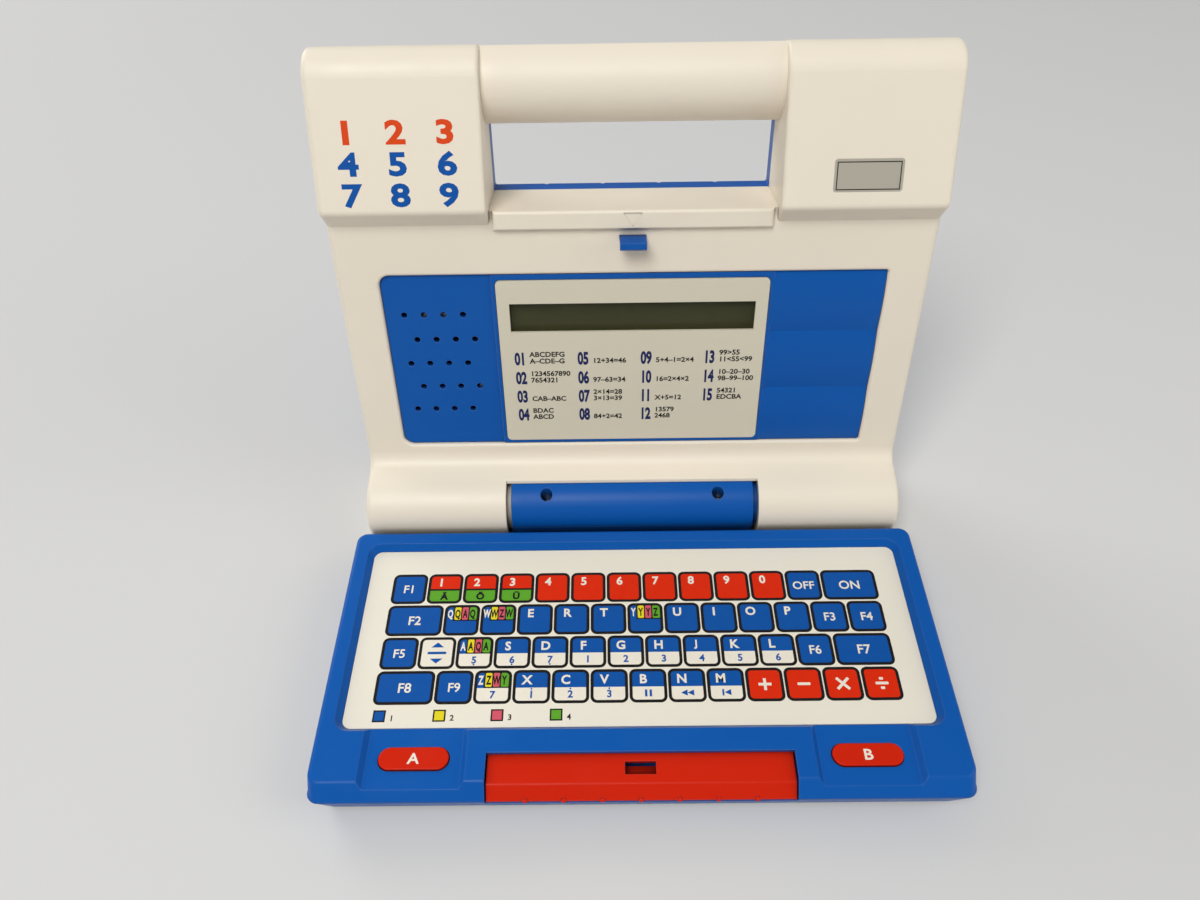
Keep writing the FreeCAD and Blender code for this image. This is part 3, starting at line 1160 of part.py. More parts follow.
def board_parts():
    """Two chips, a crystal and a capacitor on the back of the main board."""
    middle = (MAIN_BOARD_LOW + MAIN_BOARD_HIGH) / 2
    half = CHIP_SIDE / 2
    long_half = LONG_CHIP / 2
    large = box(-CHIP_PLACE - half, -CHIP_PLACE + half, BOARD_BACK, BOARD_BACK + CHIP_THICK,
                middle - half, middle + half)
    small = box(CHIP_PLACE - long_half / 2, CHIP_PLACE + 1.5 * long_half, BOARD_BACK, BOARD_BACK + CHIP_THICK,
                middle - LONG_CHIP_WIDTH / 2, middle + LONG_CHIP_WIDTH / 2)
    crystal = box(-CRYSTAL_LENGTH / 2, CRYSTAL_LENGTH / 2, BOARD_BACK, BOARD_BACK + CHIP_THICK,
                  middle + CRYSTAL_RISE, middle + CRYSTAL_RISE + CRYSTAL_WIDTH)
    capacitor = crosswise(CAPACITOR_RADIUS, CHIP_PLACE, middle - CRYSTAL_RISE, BOARD_BACK,
                          BOARD_BACK + CAPACITOR_HEIGHT)
    return [large, small, crystal, capacitor]


def speaker_frame():
    front = SURROUND_BACK
    disc = crosswise(SPEAKER_RADIUS, SPEAKER_X, SPEAKER_HEIGHT, front, front + SPEAKER_FLANGE)
    bowl = Part.makeCone(SPEAKER_RADIUS - SPEAKER_EDGE, MAGNET_RADIUS, SPEAKER_DEPTH - SPEAKER_FLANGE,
                         Vector(SPEAKER_X, front + SPEAKER_FLANGE, SPEAKER_HEIGHT), Vector(0, 1, 0))
    hollow = Part.makeCone(SPEAKER_RADIUS - SPEAKER_EDGE - SPEAKER_SHEET, MAGNET_RADIUS - SPEAKER_SHEET,
                           SPEAKER_DEPTH - SPEAKER_SHEET, Vector(SPEAKER_X, front, SPEAKER_HEIGHT),
                           Vector(0, 1, 0))
    return disc.fuse(bowl).cut(hollow).removeSplitter()


def speaker_cone():
    front = SURROUND_BACK
    outer = Part.makeCone(SPEAKER_RADIUS - SPEAKER_EDGE - SPEAKER_SHEET, MAGNET_RADIUS - SPEAKER_SHEET,
                          SPEAKER_DEPTH - SPEAKER_SHEET, Vector(SPEAKER_X, front, SPEAKER_HEIGHT),
                          Vector(0, 1, 0))
    inner = Part.makeCone(SPEAKER_RADIUS - SPEAKER_EDGE - SPEAKER_SHEET - CONE_THICK,
                          MAGNET_RADIUS - SPEAKER_SHEET - CONE_THICK,
                          SPEAKER_DEPTH - SPEAKER_SHEET - CONE_THICK,
                          Vector(SPEAKER_X, front, SPEAKER_HEIGHT), Vector(0, 1, 0))
    return outer.cut(inner)


def speaker_magnet():
    start = SURROUND_BACK + SPEAKER_DEPTH
    return crosswise(MAGNET_RADIUS, SPEAKER_X, SPEAKER_HEIGHT, start, start + MAGNET_THICK)


def latch_hook():
    half = HOOK_WIDTH / 2
    tip = FACE_BACK - HOOK_REACH
    stem = box(-half, half, tip, FACE_INSIDE, HOOK_HEIGHT, HOOK_TOP)
    lip = along_x([(tip, HOOK_HEIGHT + HOOK_JOIN, 0), (tip, HOOK_HEIGHT - HOOK_LIP / 3, 0),
                   (tip + HOOK_LIP_THICK, HOOK_HEIGHT - HOOK_LIP, 0),
                   (tip + HOOK_LIP_THICK, HOOK_HEIGHT + HOOK_JOIN, 0)], -half, half)
    flange = box(-half - HOOK_FLANGE, half + HOOK_FLANGE, FACE_INSIDE, FACE_INSIDE + LID_WALL,
                 HOOK_HEIGHT - HOOK_FLANGE, HOOK_TOP + HOOK_FLANGE)
    return joined([stem, lip, flange])


def hinge_spacer(sign):
    left, right = sorted((sign * (KNUCKLE_INNER - SPACER_THICK), sign * KNUCKLE_INNER))
    return axle(SPACER_RADIUS, left, right, 0, 0).cut(axle(PIN_RADIUS + PIN_GAP, left, right, 0, 0))


def base_cable():
    x = CABLE_X
    start = Vector(x, tail_place() + POST_INSET + SHEET_GAP, keyboard_board_top() - BOARD_THICK / 2)
    points = [start, Vector(x, DECK_REAR - BASE_WALL, cable_low()), Vector(x, -CABLE_BEND, cable_low()),
              Vector(x, 0, AXIS_HEIGHT), Vector(-KNUCKLE_INNER - BEARING_LENGTH / 2, 0, AXIS_HEIGHT)]
    return cable(points)


def lid_cable():
    far = -KNUCKLE_INNER - CABLE_TURN
    depth = BOARD_BACK + CABLE_RADIUS
    points = [Vector(-KNUCKLE_INNER - BEARING_LENGTH / 2, 0, 0), Vector(far, 0, 0),
              Vector(far, depth, SURROUND_LOW),
              Vector(-MAIN_BOARD_WIDTH / 2 + 2 * POST_INSET, depth, MAIN_BOARD_LOW + 3 * POST_INSET)]
    return cable(points)


def add_base(name, solids):
    PIECES[name] = solids if isinstance(solids, list) else [solids]


def add_lid(name, solids):
    """Lean a lid piece back about the hinge axis and lift it to the axis."""
    placed = []
    for solid in solids if isinstance(solids, list) else [solids]:
        solid = solid.copy()
        solid.rotate(Vector(0, 0, 0), Vector(1, 0, 0), -LEAN)
        solid.translate(Vector(0, 0, AXIS_HEIGHT))
        placed.append(solid)
    PIECES[name] = placed


def add_all_base():
    add_base("deck_shell", deck_shell())
    add_base("base_bottom_case", base_bottom_case())
    add_base("hinge_cover", hinge_cover())
    seats = [Vector(sign * COVER_SCREW_X, -COVER_SCREW_FORWARD, AXIS_HEIGHT + COVER_SCREW_SEAT)
             for sign in (-1, 1)]
    cover_bite = COVER_SCREW_SEAT + SCREW_BITE - SCREW_SHORT
    add_base("hinge_cover_screws", [screw(seat, Vector(0, 0, -1), cover_bite) for seat in seats])
    add_base("hinge_pin_left", hinge_pin(-1))
    add_base("hinge_pin_right", hinge_pin(1))
    add_base("keyboard_overlay", keyboard_sheet(OVERLAY_TOP - OVERLAY_THICK, OVERLAY_THICK))
    add_base("membrane_sheet", keyboard_sheet(KEY_FLOOR_TOP, MEMBRANE_THICK))
    tail_low = keyboard_board_top() + TAIL_SOCKET
    add_base("membrane_tail", box(-TAIL_WIDTH / 2, TAIL_WIDTH / 2, tail_place(),
                                  tail_place() + MEMBRANE_THICK, tail_low, KEY_FLOOR_TOP))
    board = box(-KEYBOARD_BOARD_LENGTH / 2, KEYBOARD_BOARD_LENGTH / 2,
                tail_place() - KEYBOARD_BOARD_WIDTH + POST_INSET, tail_place() + POST_INSET,
                keyboard_board_top() - BOARD_THICK, keyboard_board_top())
    add_base("keyboard_board", board)
    add_base("tail_socket", box(-TAIL_WIDTH / 2 - BOX_WALL, TAIL_WIDTH / 2 + BOX_WALL,
                                tail_place() - TAIL_SOCKET / 2, tail_place() + TAIL_SOCKET,
                                keyboard_board_top(), tail_low))
    for name, sign in (("a", -1), ("b", 1)):
        add_base("player_" + name + "_button", player_button(sign * BUTTON_X))
        add_base("player_" + name + "_dome", button_dome(sign * BUTTON_X))
        add_base("player_" + name + "_board", button_board(sign * BUTTON_X))
    add_base("latch_bar", latch_bar())
    add_base("latch_springs", [latch_spring(-SPRING_X), latch_spring(SPRING_X)])
    add_base("base_feet", [upright(FOOT_RADIUS, x, y, 0, FOOT_DROP + FOOT_SINK) for x, y in foot_places()])
    add_base("base_screws", [screw(Vector(x, y, base_screw_seat()), Vector(0, 0, 1), SCREW_BITE)
                             for x, y in base_boss_places()])
    add_base("base_cable", base_cable())


def add_all_lid():
    add_lid("lid_front_shell", lid_front_shell())
    add_lid("lid_back_cover", lid_back_cover())
    add_lid("screen_surround", screen_surround())
    add_lid("screen_plate", screen_plate())
    add_lid("screen_window", screen_window())
    add_lid("display_glass", display_glass())
    add_lid("display_frame", display_frame())
    add_lid("display_strips", display_strips())
    add_lid("main_board", main_board())
    add_lid("board_parts", board_parts())
    add_lid("board_screws", [screw(Vector(x, BOARD_BACK, z), Vector(0, -1, 0), BOARD_THICK + BOARD_OFFSET)
                             for x, z in board_post_places()])
    add_lid("speaker_frame", speaker_frame())
    add_lid("speaker_cone", speaker_cone())
    add_lid("speaker_magnet", speaker_magnet())
    add_lid("battery_cells", [battery_cell(x, index) for x, index in cell_places()])
    add_lid("battery_springs", [battery_spring(x, index) for x, index in cell_places()])
    contacts = [battery_contact(x, low) for x, index in cell_places()
                for low in (BOX_LOW, BOX_HIGH - CONTACT_THICK)]
    add_lid("battery_contacts", contacts)
    add_lid("battery_door", battery_door())
    door_seat = Vector(CELL_MIDDLE_X, LID_BACK - DOOR_THICK / 2, door_screw_height())
    add_lid("battery_door_screw", screw(door_seat, Vector(0, -1, 0), SCREW_BITE))
    add_lid("latch_hook", latch_hook())
    add_lid("name_plate", name_plate())
    add_lid("hinge_spacer_left", hinge_spacer(-1))
    add_lid("hinge_spacer_right", hinge_spacer(1))
    lid_bite = lid_screw_seat() - SEAM_BACK + SCREW_BITE - SCREW_SHORT
    add_lid("lid_screws", [screw(Vector(x, lid_screw_seat(), z), Vector(0, -1, 0), lid_bite)
                           for x, z in lid_screw_places()])
    add_lid("lid_cable", lid_cable())


def save_all():
    """Put the origin under the middle of the whole object, on the table, and write every piece."""
    everything = Part.makeCompound([solid for solids in PIECES.values() for solid in solids])
    bounds = everything.optimalBoundingBox(False, False)
    shift = Vector(0, -(bounds.YMin + bounds.YMax) / 2, 0)
    for name, solids in PIECES.items():
        placed = [solid.copy() for solid in solids]
        for solid in placed:
            solid.translate(shift)
        shape = placed[0] if len(placed) == 1 else Part.makeCompound(placed)
        shape.exportStep("parts/" + name + ".step")
    print("hinge axis y", shift.y, "z", AXIS_HEIGHT)
    print("size", bounds.XLength, bounds.YLength, bounds.ZLength, "lowest", bounds.ZMin)


add_all_base()
add_all_lid()
save_all()
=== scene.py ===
# %% [markdown]
# # A toy laptop computer
# The solids of the toy come ready made and at their real size: base, lid, latch, buttons and all that is
# inside. This lesson dresses them. It gives each plastic, sheet, metal and rubber its finish, and it prints
# the keyboard and the screen plate with thin films of ink.

# %% The solids
import json
import math

import bmesh
import bpy
from mathutils import Matrix, Vector

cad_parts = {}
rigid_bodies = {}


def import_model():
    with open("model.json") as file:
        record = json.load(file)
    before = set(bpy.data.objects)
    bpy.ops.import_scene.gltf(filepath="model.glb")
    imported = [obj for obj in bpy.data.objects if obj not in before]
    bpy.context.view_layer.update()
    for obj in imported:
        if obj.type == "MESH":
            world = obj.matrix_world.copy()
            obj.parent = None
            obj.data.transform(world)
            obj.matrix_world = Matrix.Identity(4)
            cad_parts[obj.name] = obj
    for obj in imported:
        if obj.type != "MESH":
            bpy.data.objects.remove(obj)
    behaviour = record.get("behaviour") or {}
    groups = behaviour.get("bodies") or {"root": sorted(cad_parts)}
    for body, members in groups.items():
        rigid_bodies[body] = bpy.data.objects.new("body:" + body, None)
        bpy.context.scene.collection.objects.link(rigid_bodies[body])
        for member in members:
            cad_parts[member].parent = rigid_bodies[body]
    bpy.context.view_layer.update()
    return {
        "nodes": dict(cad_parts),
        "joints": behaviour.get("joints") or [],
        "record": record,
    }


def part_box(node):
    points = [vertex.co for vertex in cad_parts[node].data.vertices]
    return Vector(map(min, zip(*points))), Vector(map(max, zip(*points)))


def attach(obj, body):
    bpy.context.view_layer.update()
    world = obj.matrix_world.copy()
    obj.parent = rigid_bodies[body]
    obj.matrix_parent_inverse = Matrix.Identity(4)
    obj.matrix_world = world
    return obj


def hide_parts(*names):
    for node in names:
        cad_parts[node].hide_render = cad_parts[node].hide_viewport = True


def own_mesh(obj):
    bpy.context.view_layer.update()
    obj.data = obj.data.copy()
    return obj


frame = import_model()
nodes = frame["nodes"]
MM = 0.001


def add_object(name, data):
    """A new object in the scene, made from a mesh, a word, a lamp or a camera."""
    thing = bpy.data.objects.new(name, data)
    bpy.context.scene.collection.objects.link(thing)
    return thing


# %% [markdown]
# ## Where the lid is
# The lid leans back on its hinge, so nothing on it is square to the room. We could type the height of each
# print by hand, but one frame that stands on the hinge axis and leans with the lid is shorter: in it, X runs
# along the hinge, Z runs up the lid and Y runs to the lid's back. The joint itself gives the axis, and its
# range gives the lean, because a closed lid lies level.

# %% The leaning frame
hinge = next(joint for joint in frame["joints"] if joint["name"] == "lid_hinge")
hinge_point = Vector(hinge["pos_m"])
lean = math.radians(hinge["range_deg"][1] - 90)
lid_place = Matrix.Translation(hinge_point) @ Matrix.Rotation(-lean, 4, "X")


def corners_in(place, node):
    """Lowest and highest corner of a solid, in metres, measured in the frame of a place."""
    back = place.inverted()
    points = [back @ vertex.co for vertex in nodes[node].data.vertices]
    low = Vector([min(point[axis] for point in points) for axis in range(3)])
    high = Vector([max(point[axis] for point in points) for axis in range(3)])
    return low, high


print("the lid leans back by", round(math.degrees(lean), 1), "degrees")

# %% [markdown]
# ## The camera
# The toy is seen from in front and well above. The lens is a short one, so the near edge of the base looks
# wider than the lid. The camera is placed from the hinge, and turned about three plain angles.

# %% Camera
CAMERA_FROM_HINGE = Vector((-12.56, -286.43, 359.16)) * MM
CAMERA_YAW = math.radians(0.573)
CAMERA_DOWN = math.radians(48.189)
CAMERA_ROLL = math.radians(-1.087)
LENS = 27.0
SENSOR_WIDTH = 36.0

camera_data = bpy.data.cameras.new("camera")
camera_data.lens = LENS
camera_data.sensor_width = SENSOR_WIDTH
camera = add_object("camera", camera_data)
camera_turn = (Matrix.Rotation(CAMERA_YAW, 4, "Z")
               @ Matrix.Rotation(math.pi / 2 - CAMERA_DOWN, 4, "X")
               @ Matrix.Rotation(CAMERA_ROLL, 4, "Z"))
camera.matrix_world = Matrix.Translation(hinge_point + CAMERA_FROM_HINGE) @ camera_turn
bpy.context.scene.camera = camera
print("camera at", [round(value, 3) for value in camera.matrix_world.translation])

# %% [markdown]
# ## Colours
# A picked colour is a display colour, and the shaders want linear light. One small function turns
# the first into the second, so that every colour below can be written as it is seen, from 0 to 255.

# %% Colours as they are seen
def seen(red, green, blue):
    """A display colour, 0 to 255, as linear light. The numbers are those of the sRGB curve."""
    linear = []
    for value in (red, green, blue):
        share = value / 255
        linear.append(share / 12.92 if share <= 0.04045 else ((share + 0.055) / 1.055) ** 2.4)
    return (*linear, 1.0)


def paler(colour, share):
    return (*[value + (1 - value) * share for value in colour[:3]], 1.0)


def darker(colour, share):
    return (*[value * share for value in colour[:3]], 1.0)


CREAM = seen(239, 228, 208)
BLUE = seen(8, 87, 170)
RED = seen(208, 36, 8)
SHEET = seen(238, 231, 213)
PLATE = seen(217, 210, 187)
print("the cream plastic is", [round(value, 2) for value in CREAM[:3]], "in linear light")

# %% [markdown]
# ## Node groups
# Several finishes share the same effects: the cloudy tone and fine grain of moulded plastic, the way a
# small round edge catches light, painted shade in the recesses and the smudges of years of hands. Each effect
# is built once as a node group and placed in a material with its own values. A group only hands out colours,
# masks, values and normals, and the shader stays in the material.

# %% Helpers for node groups
def new_group(name, inputs, outputs):
    """An empty shader node group. Gives back what goes into its nodes and what comes out of it."""
    group = bpy.data.node_groups.new(name, "ShaderNodeTree")
    for label, kind, value in inputs:
        socket = group.interface.new_socket(label, in_out="INPUT", socket_type="NodeSocket" + kind)
        socket.default_value = value
    for label, kind in outputs:
        group.interface.new_socket(label, in_out="OUTPUT", socket_type="NodeSocket" + kind)
    start = group.nodes.new("NodeGroupInput")
    end = group.nodes.new("NodeGroupOutput")
    return group, start.outputs, end.inputs


def feed(tree, value, socket):
    """Feed a socket: from another node by a link, or with a plain value."""
    if isinstance(value, bpy.types.NodeSocket):
        tree.links.new(value, socket)
    else:
        socket.default_value = value


def math_node(tree, operation, first, second):
    node = tree.nodes.new("ShaderNodeMath")
    node.operation = operation
    feed(tree, first, node.inputs[0])
    feed(tree, second, node.inputs[1])
    return node.outputs[0]


print("group helpers ready")

# %% [markdown]
# ### Noise, tone and masks
# Four small recipes come back in most groups: a noise, the distance of a noise from its middle, a colour made
# lighter or darker by that distance, and a mask that rises from one value to another.

# %% Noise, tone and masks
def noise(tree, scale, detail, stretch=(1, 1, 1)):
    """A noise that is fixed to the object, in metres. Its value is about 0.5 on average."""
    place = tree.nodes.new("ShaderNodeTexCoord")
    mapping = tree.nodes.new("ShaderNodeMapping")
    mapping.inputs["Scale"].default_value = stretch
    texture = tree.nodes.new("ShaderNodeTexNoise")
    texture.inputs["Scale"].default_value = scale
    texture.inputs["Detail"].default_value = detail
    tree.links.new(place.outputs["Object"], mapping.inputs["Vector"])
    tree.links.new(mapping.outputs["Vector"], texture.inputs["Vector"])
    return texture.outputs["Fac"]


def spread(tree, value, amount, middle=0.5):
    """How far a value is above or below its middle, times an amount."""
    return math_node(tree, "MULTIPLY", math_node(tree, "SUBTRACT", value, middle), amount)


def shaded(tree, colour, tone):
    """A colour made lighter where the tone is above 0, and darker where it is below."""
    node = tree.nodes.new("ShaderNodeVectorMath")
    node.operation = "SCALE"
    feed(tree, colour, node.inputs[0])
    feed(tree, math_node(tree, "ADD", 1.0, tone), node.inputs["Scale"])
    return node.outputs["Vector"]


def mask(tree, value, none_at, all_at):
    """A mask that is 0 where the value reaches one limit and 1 where it reaches the other."""
    node = tree.nodes.new("ShaderNodeMapRange")
    feed(tree, none_at, node.inputs["From Min"])
    feed(tree, all_at, node.inputs["From Max"])
    feed(tree, value, node.inputs["Value"])
    return node.outputs["Result"]


print("recipes ready")

# %% [markdown]
# ### Moulded skin
# A moulded case is never one even colour: it has a soft cloudy tone, a fine spark-eroded grain and places
# that are polished by use. Three noises of very different size do that: one of some 60 mm for the tone, one
# of some 15 mm for the polish and one of half a millimetre for the grain. A noise's scale is one over its
# size in metres.

# %% Moulded skin
CLOUD_SCALE = 16
RUBBED_SCALE = 65
GRAIN_SCALE = 2200


def moulded_skin():
    inputs = [("Colour", "Color", CREAM), ("Tone", "Float", 0.05), ("Polish", "Float", 0.4),
              ("Uneven", "Float", 0.2)]
    outputs = [("Colour", "Color"), ("Roughness", "Float"), ("Grain", "Float")]
    group, given, result = new_group("moulded_skin", inputs, outputs)
    tone = spread(group, noise(group, CLOUD_SCALE, detail=3), given["Tone"])
    feed(group, shaded(group, given["Colour"], tone), result["Colour"])
    uneven = spread(group, noise(group, RUBBED_SCALE, detail=4), given["Uneven"])
    feed(group, math_node(group, "ADD", given["Polish"], uneven), result["Roughness"])
    feed(group, noise(group, GRAIN_SCALE, detail=2), result["Grain"])
    return group


MOULDED_SKIN = moulded_skin()
print("group:", MOULDED_SKIN.name)

# %% [markdown]
# ### Edge light
# The edges of a moulding are slightly round, and years of handling round them more, so each one draws a thin
# bright line. Modelling a fillet on every edge would cost many faces. The Bevel node gives the normal that a
# small round edge would have, and where it leaves the face's own normal we have a mask of the edges.

# %% Edge light
RAY_SAMPLES = 6
FLAT_LIKENESS = 0.99
EDGE_LIKENESS = 0.75


def edge_light():
    outputs = [("Edge", "Float"), ("Normal", "Vector")]
    group, given, result = new_group("edge_light", [("Width", "Float", 0.0005)], outputs)
    bevel = group.nodes.new("ShaderNodeBevel")
    bevel.samples = RAY_SAMPLES
    feed(group, given["Width"], bevel.inputs["Radius"])
    face = group.nodes.new("ShaderNodeNewGeometry")
    likeness = group.nodes.new("ShaderNodeVectorMath")
    likeness.operation = "DOT_PRODUCT"
    feed(group, bevel.outputs["Normal"], likeness.inputs[0])
    feed(group, face.outputs["Normal"], likeness.inputs[1])
    feed(group, mask(group, likeness.outputs["Value"], FLAT_LIKENESS, EDGE_LIKENESS), result["Edge"])
    feed(group, bevel.outputs["Normal"], result["Normal"])
    return group


EDGE_LIGHT = edge_light()
print("group:", EDGE_LIGHT.name)

# %% [markdown]
# ### Painted shade in the recesses
# Holes, slots and the lines between two mouldings get less light than open faces, and this group paints that
# shade into the colour. Painting it by hand would have to be done again after each change of shape. The
# Ambient Occlusion node feels how closed in a point is, within a centimetre, and that is the mask for the
# painted shade: none where the point is open, most of it where the point is closed in.

# %% Painted shade in the recesses
# Painted shade: a mask that is high where a point is closed in and gets less light.
def recess_grime():
    inputs = [("Reach", "Float", 0.01), ("Open", "Float", 0.5), ("Closed", "Float", 0.2),
              ("Amount", "Float", 0.85)]
    group, given, result = new_group("recess_grime", inputs, [("Shade", "Float")])
    shelter = group.nodes.new("ShaderNodeAmbientOcclusion")
    shelter.samples = RAY_SAMPLES
    feed(group, given["Reach"], shelter.inputs["Distance"])
    closed_in = mask(group, shelter.outputs["AO"], given["Open"], given["Closed"])
    feed(group, math_node(group, "MULTIPLY", closed_in, given["Amount"]), result["Shade"])
    return group


PAINTED_RECESS_SHADE = recess_grime()
print("group:", PAINTED_RECESS_SHADE.name)

# %% [markdown]
# ### Signs of use
# Hands leave smudges, and a table leaves fine scratches. Both change the gloss far more than the colour, so
# the group gives a smudge value for the roughness and a scratch value for the bump. A noise that is pulled
# out along one axis makes the scratches.

# %% Signs of use
SMUDGE_SCALE = 38
SMUDGE_LIMITS = (0.52, 0.72)
SCRATCH_SCALE = 420
SCRATCH_STRETCH = (0.06, 1.0, 1.0)
SCRATCH_LIMITS = (0.62, 0.7)


def signs_of_use():
    outputs = [("Smudge", "Float"), ("Scratch", "Float")]
    group, given, result = new_group("signs_of_use", [("Amount", "Float", 0.1)], outputs)
    smudge = mask(group, noise(group, SMUDGE_SCALE, detail=5), *SMUDGE_LIMITS)
    feed(group, math_node(group, "MULTIPLY", smudge, given["Amount"]), result["Smudge"])
    scratch = mask(group, noise(group, SCRATCH_SCALE, 1, SCRATCH_STRETCH), *SCRATCH_LIMITS)
    feed(group, math_node(group, "MULTIPLY", scratch, given["Amount"]), result["Scratch"])
    return group


SIGNS_OF_USE = signs_of_use()
print("group:", SIGNS_OF_USE.name)

# %% [markdown]
# ### Ink film
# Screen-printed ink is almost flat, but it is a little thicker and thinner from place to place, and its
# surface is more even than the plastic under it. Two small noises give the film its mottle, and a larger one
# its sheen. Two noises together are 1 on average, so that is the middle of the mottle.

# %% Ink film
BLOTCH_SCALE = 240
SPECK_SCALE = 1500
SHEEN_SCALE = 90
SHEEN_SPREAD = 0.25
INK_ROUGHNESS = 0.4


def ink_film():
    inputs = [("Colour", "Color", BLUE), ("Mottle", "Float", 0.08)]
    group, given, result = new_group("ink_film", inputs, [("Colour", "Color"), ("Roughness", "Float")])
    blotches = noise(group, BLOTCH_SCALE, detail=3)
    specks = noise(group, SPECK_SCALE, detail=2)
    tone = spread(group, math_node(group, "ADD", blotches, specks), given["Mottle"], middle=1.0)
    feed(group, shaded(group, given["Colour"], tone), result["Colour"])
    sheen = spread(group, noise(group, SHEEN_SCALE, detail=3), SHEEN_SPREAD)
    feed(group, math_node(group, "ADD", INK_ROUGHNESS, sheen), result["Roughness"])
    return group


INK_FILM = ink_film()
print("group:", INK_FILM.name)

# %% [markdown]
# ## Materials
# Every material starts with one Principled shader. Groups are placed beside it and feed its sockets, a bump
# gives it fine relief, and a mix lets one colour take over from another.

# %% Helpers for materials
def new_material(name):
    """A material with its node tree and the sockets of its shader."""
    material = bpy.data.materials.new(name)
    material.use_nodes = True
    tree = material.node_tree
    return material, tree, tree.nodes["Principled BSDF"].inputs


def place_group(tree, group, **values):
    """One use of a node group, with its own values. Gives back what comes out of it."""
    node = tree.nodes.new("ShaderNodeGroup")
    node.node_tree = group
    for label, value in values.items():
        feed(tree, value, node.inputs[label])
    return node.outputs


def bump(tree, height, strength, distance, normal=None):
    node = tree.nodes.new("ShaderNodeBump")
    feed(tree, strength, node.inputs["Strength"])
    feed(tree, distance, node.inputs["Distance"])
    feed(tree, height, node.inputs["Height"])
    if normal is not None:
        feed(tree, normal, node.inputs["Normal"])
    return node.outputs["Normal"]


def mixed(tree, factor, first, second):
    """One colour turned into another where the factor is high. The second is written as a value."""
    node = tree.nodes.new("ShaderNodeMix")
    node.data_type = "RGBA"
    feed(tree, factor, node.inputs["Factor"])
    feed(tree, first, node.inputs["A"])
    feed(tree, second, node.inputs["B"])
    return node.outputs["Result"]


print("material helpers ready")

# %% [markdown]
# ### Plastics
# The cases are injection-moulded plastic in three colours. The lid is a warm white, the base and the panels
# are a strong blue, and the latch and the two player buttons are red. One function puts four of the groups
# round a shader, and each plastic brings its own values. The edges are painted paler, partly as wear and
# partly as a painted highlight, and the recesses are darkened with painted shade. Red bounces so much light
# about in its slots that its painted shade has to start in more open places.

# %% The plastics
EDGE_WIDTH = 0.0006
# How strongly edges are painted paler: partly wear, partly a painted highlight.
EDGE_WEAR_AND_HIGHLIGHT = 0.5
# Painted shade in the recesses: how far it feels, and how dark the colour gets there.
SHADE_REACH = 0.010
CLOSED_SHARE = 0.4
SHADE_DARKNESS = 0.08
GRAIN_DEPTH = 0.0002


def plastic(name, colour, polish, grain, edge_pale, gloss=0.4, shade_open=0.5):
    material, tree, shader = new_material(name)
    skin = place_group(tree, MOULDED_SKIN, Colour=colour, Tone=0.05, Polish=polish, Uneven=0.16)
    edge = place_group(tree, EDGE_LIGHT, Width=EDGE_WIDTH)
    use = place_group(tree, SIGNS_OF_USE, Amount=0.12)
    # Painted shade: the colour is made darker where a point is closed in, in holes, slots and between parts.
    shade_closed = CLOSED_SHARE * shade_open
    painted_shade = place_group(tree, PAINTED_RECESS_SHADE, Reach=SHADE_REACH, Open=shade_open, Closed=shade_closed)
    # The edges are painted paler: partly wear, partly a painted highlight.
    worn_and_highlit = math_node(tree, "MULTIPLY", edge["Edge"], EDGE_WEAR_AND_HIGHLIGHT)
    rubbed_and_highlit = mixed(tree, worn_and_highlit, skin["Colour"], paler(colour, edge_pale))
    feed(tree, mixed(tree, painted_shade["Shade"], rubbed_and_highlit, darker(colour, SHADE_DARKNESS)), shader["Base Color"])
    feed(tree, math_node(tree, "ADD", skin["Roughness"], use["Smudge"]), shader["Roughness"])
    relief = math_node(tree, "SUBTRACT", skin["Grain"], use["Scratch"])
    feed(tree, bump(tree, relief, grain, GRAIN_DEPTH, edge["Normal"]), shader["Normal"])
    feed(tree, gloss, shader["Specular IOR Level"])
    return material


CREAM_PLASTIC = plastic("cream_plastic", CREAM, polish=0.42, grain=0.10, edge_pale=0.35)
BLUE_PLASTIC = plastic("blue_plastic", BLUE, polish=0.36, grain=0.12, edge_pale=0.16, gloss=0.18)
RED_PLASTIC = plastic("red_plastic", RED, polish=0.34, grain=0.10, edge_pale=0.08, gloss=0.12,
                      shade_open=0.76)
GREY_PLASTIC = plastic("grey_plastic", seen(120, 120, 118), polish=0.45, grain=0.1, edge_pale=0.2)
BLACK_PLASTIC = plastic("black_plastic", seen(24, 24, 26), polish=0.5, grain=0.15, edge_pale=0.1)
print("plastics:", [material.name for material in bpy.data.materials if "plastic" in material.name])

# %% [markdown]
# ### Sheets, films and rubber
# The keyboard is one printed sheet over a clear membrane, and the screen plate is a printed plate with a
# satin face. They are smoother than the cases and have no grain, only a slow change of gloss and a few fine
# scratches. Rubber is the other way round: dull, grainy and a little dusty. The paper of the speaker cone is
# near enough to rubber to be made in the same way.

# %% Sheets, films and rubber
DUST = seen(150, 145, 138)
DUST_SCALE = 300
DUST_SHARE = 0.12


def sheet(name, colour, polish):
    material, tree, shader = new_material(name)
    skin = place_group(tree, MOULDED_SKIN, Colour=colour, Tone=0.035, Polish=polish, Uneven=0.12)
    use = place_group(tree, SIGNS_OF_USE, Amount=0.08)
    feed(tree, skin["Colour"], shader["Base Color"])
    feed(tree, math_node(tree, "ADD", skin["Roughness"], use["Smudge"]), shader["Roughness"])
    feed(tree, bump(tree, use["Scratch"], strength=0.05, distance=0.0001), shader["Normal"])
    return material


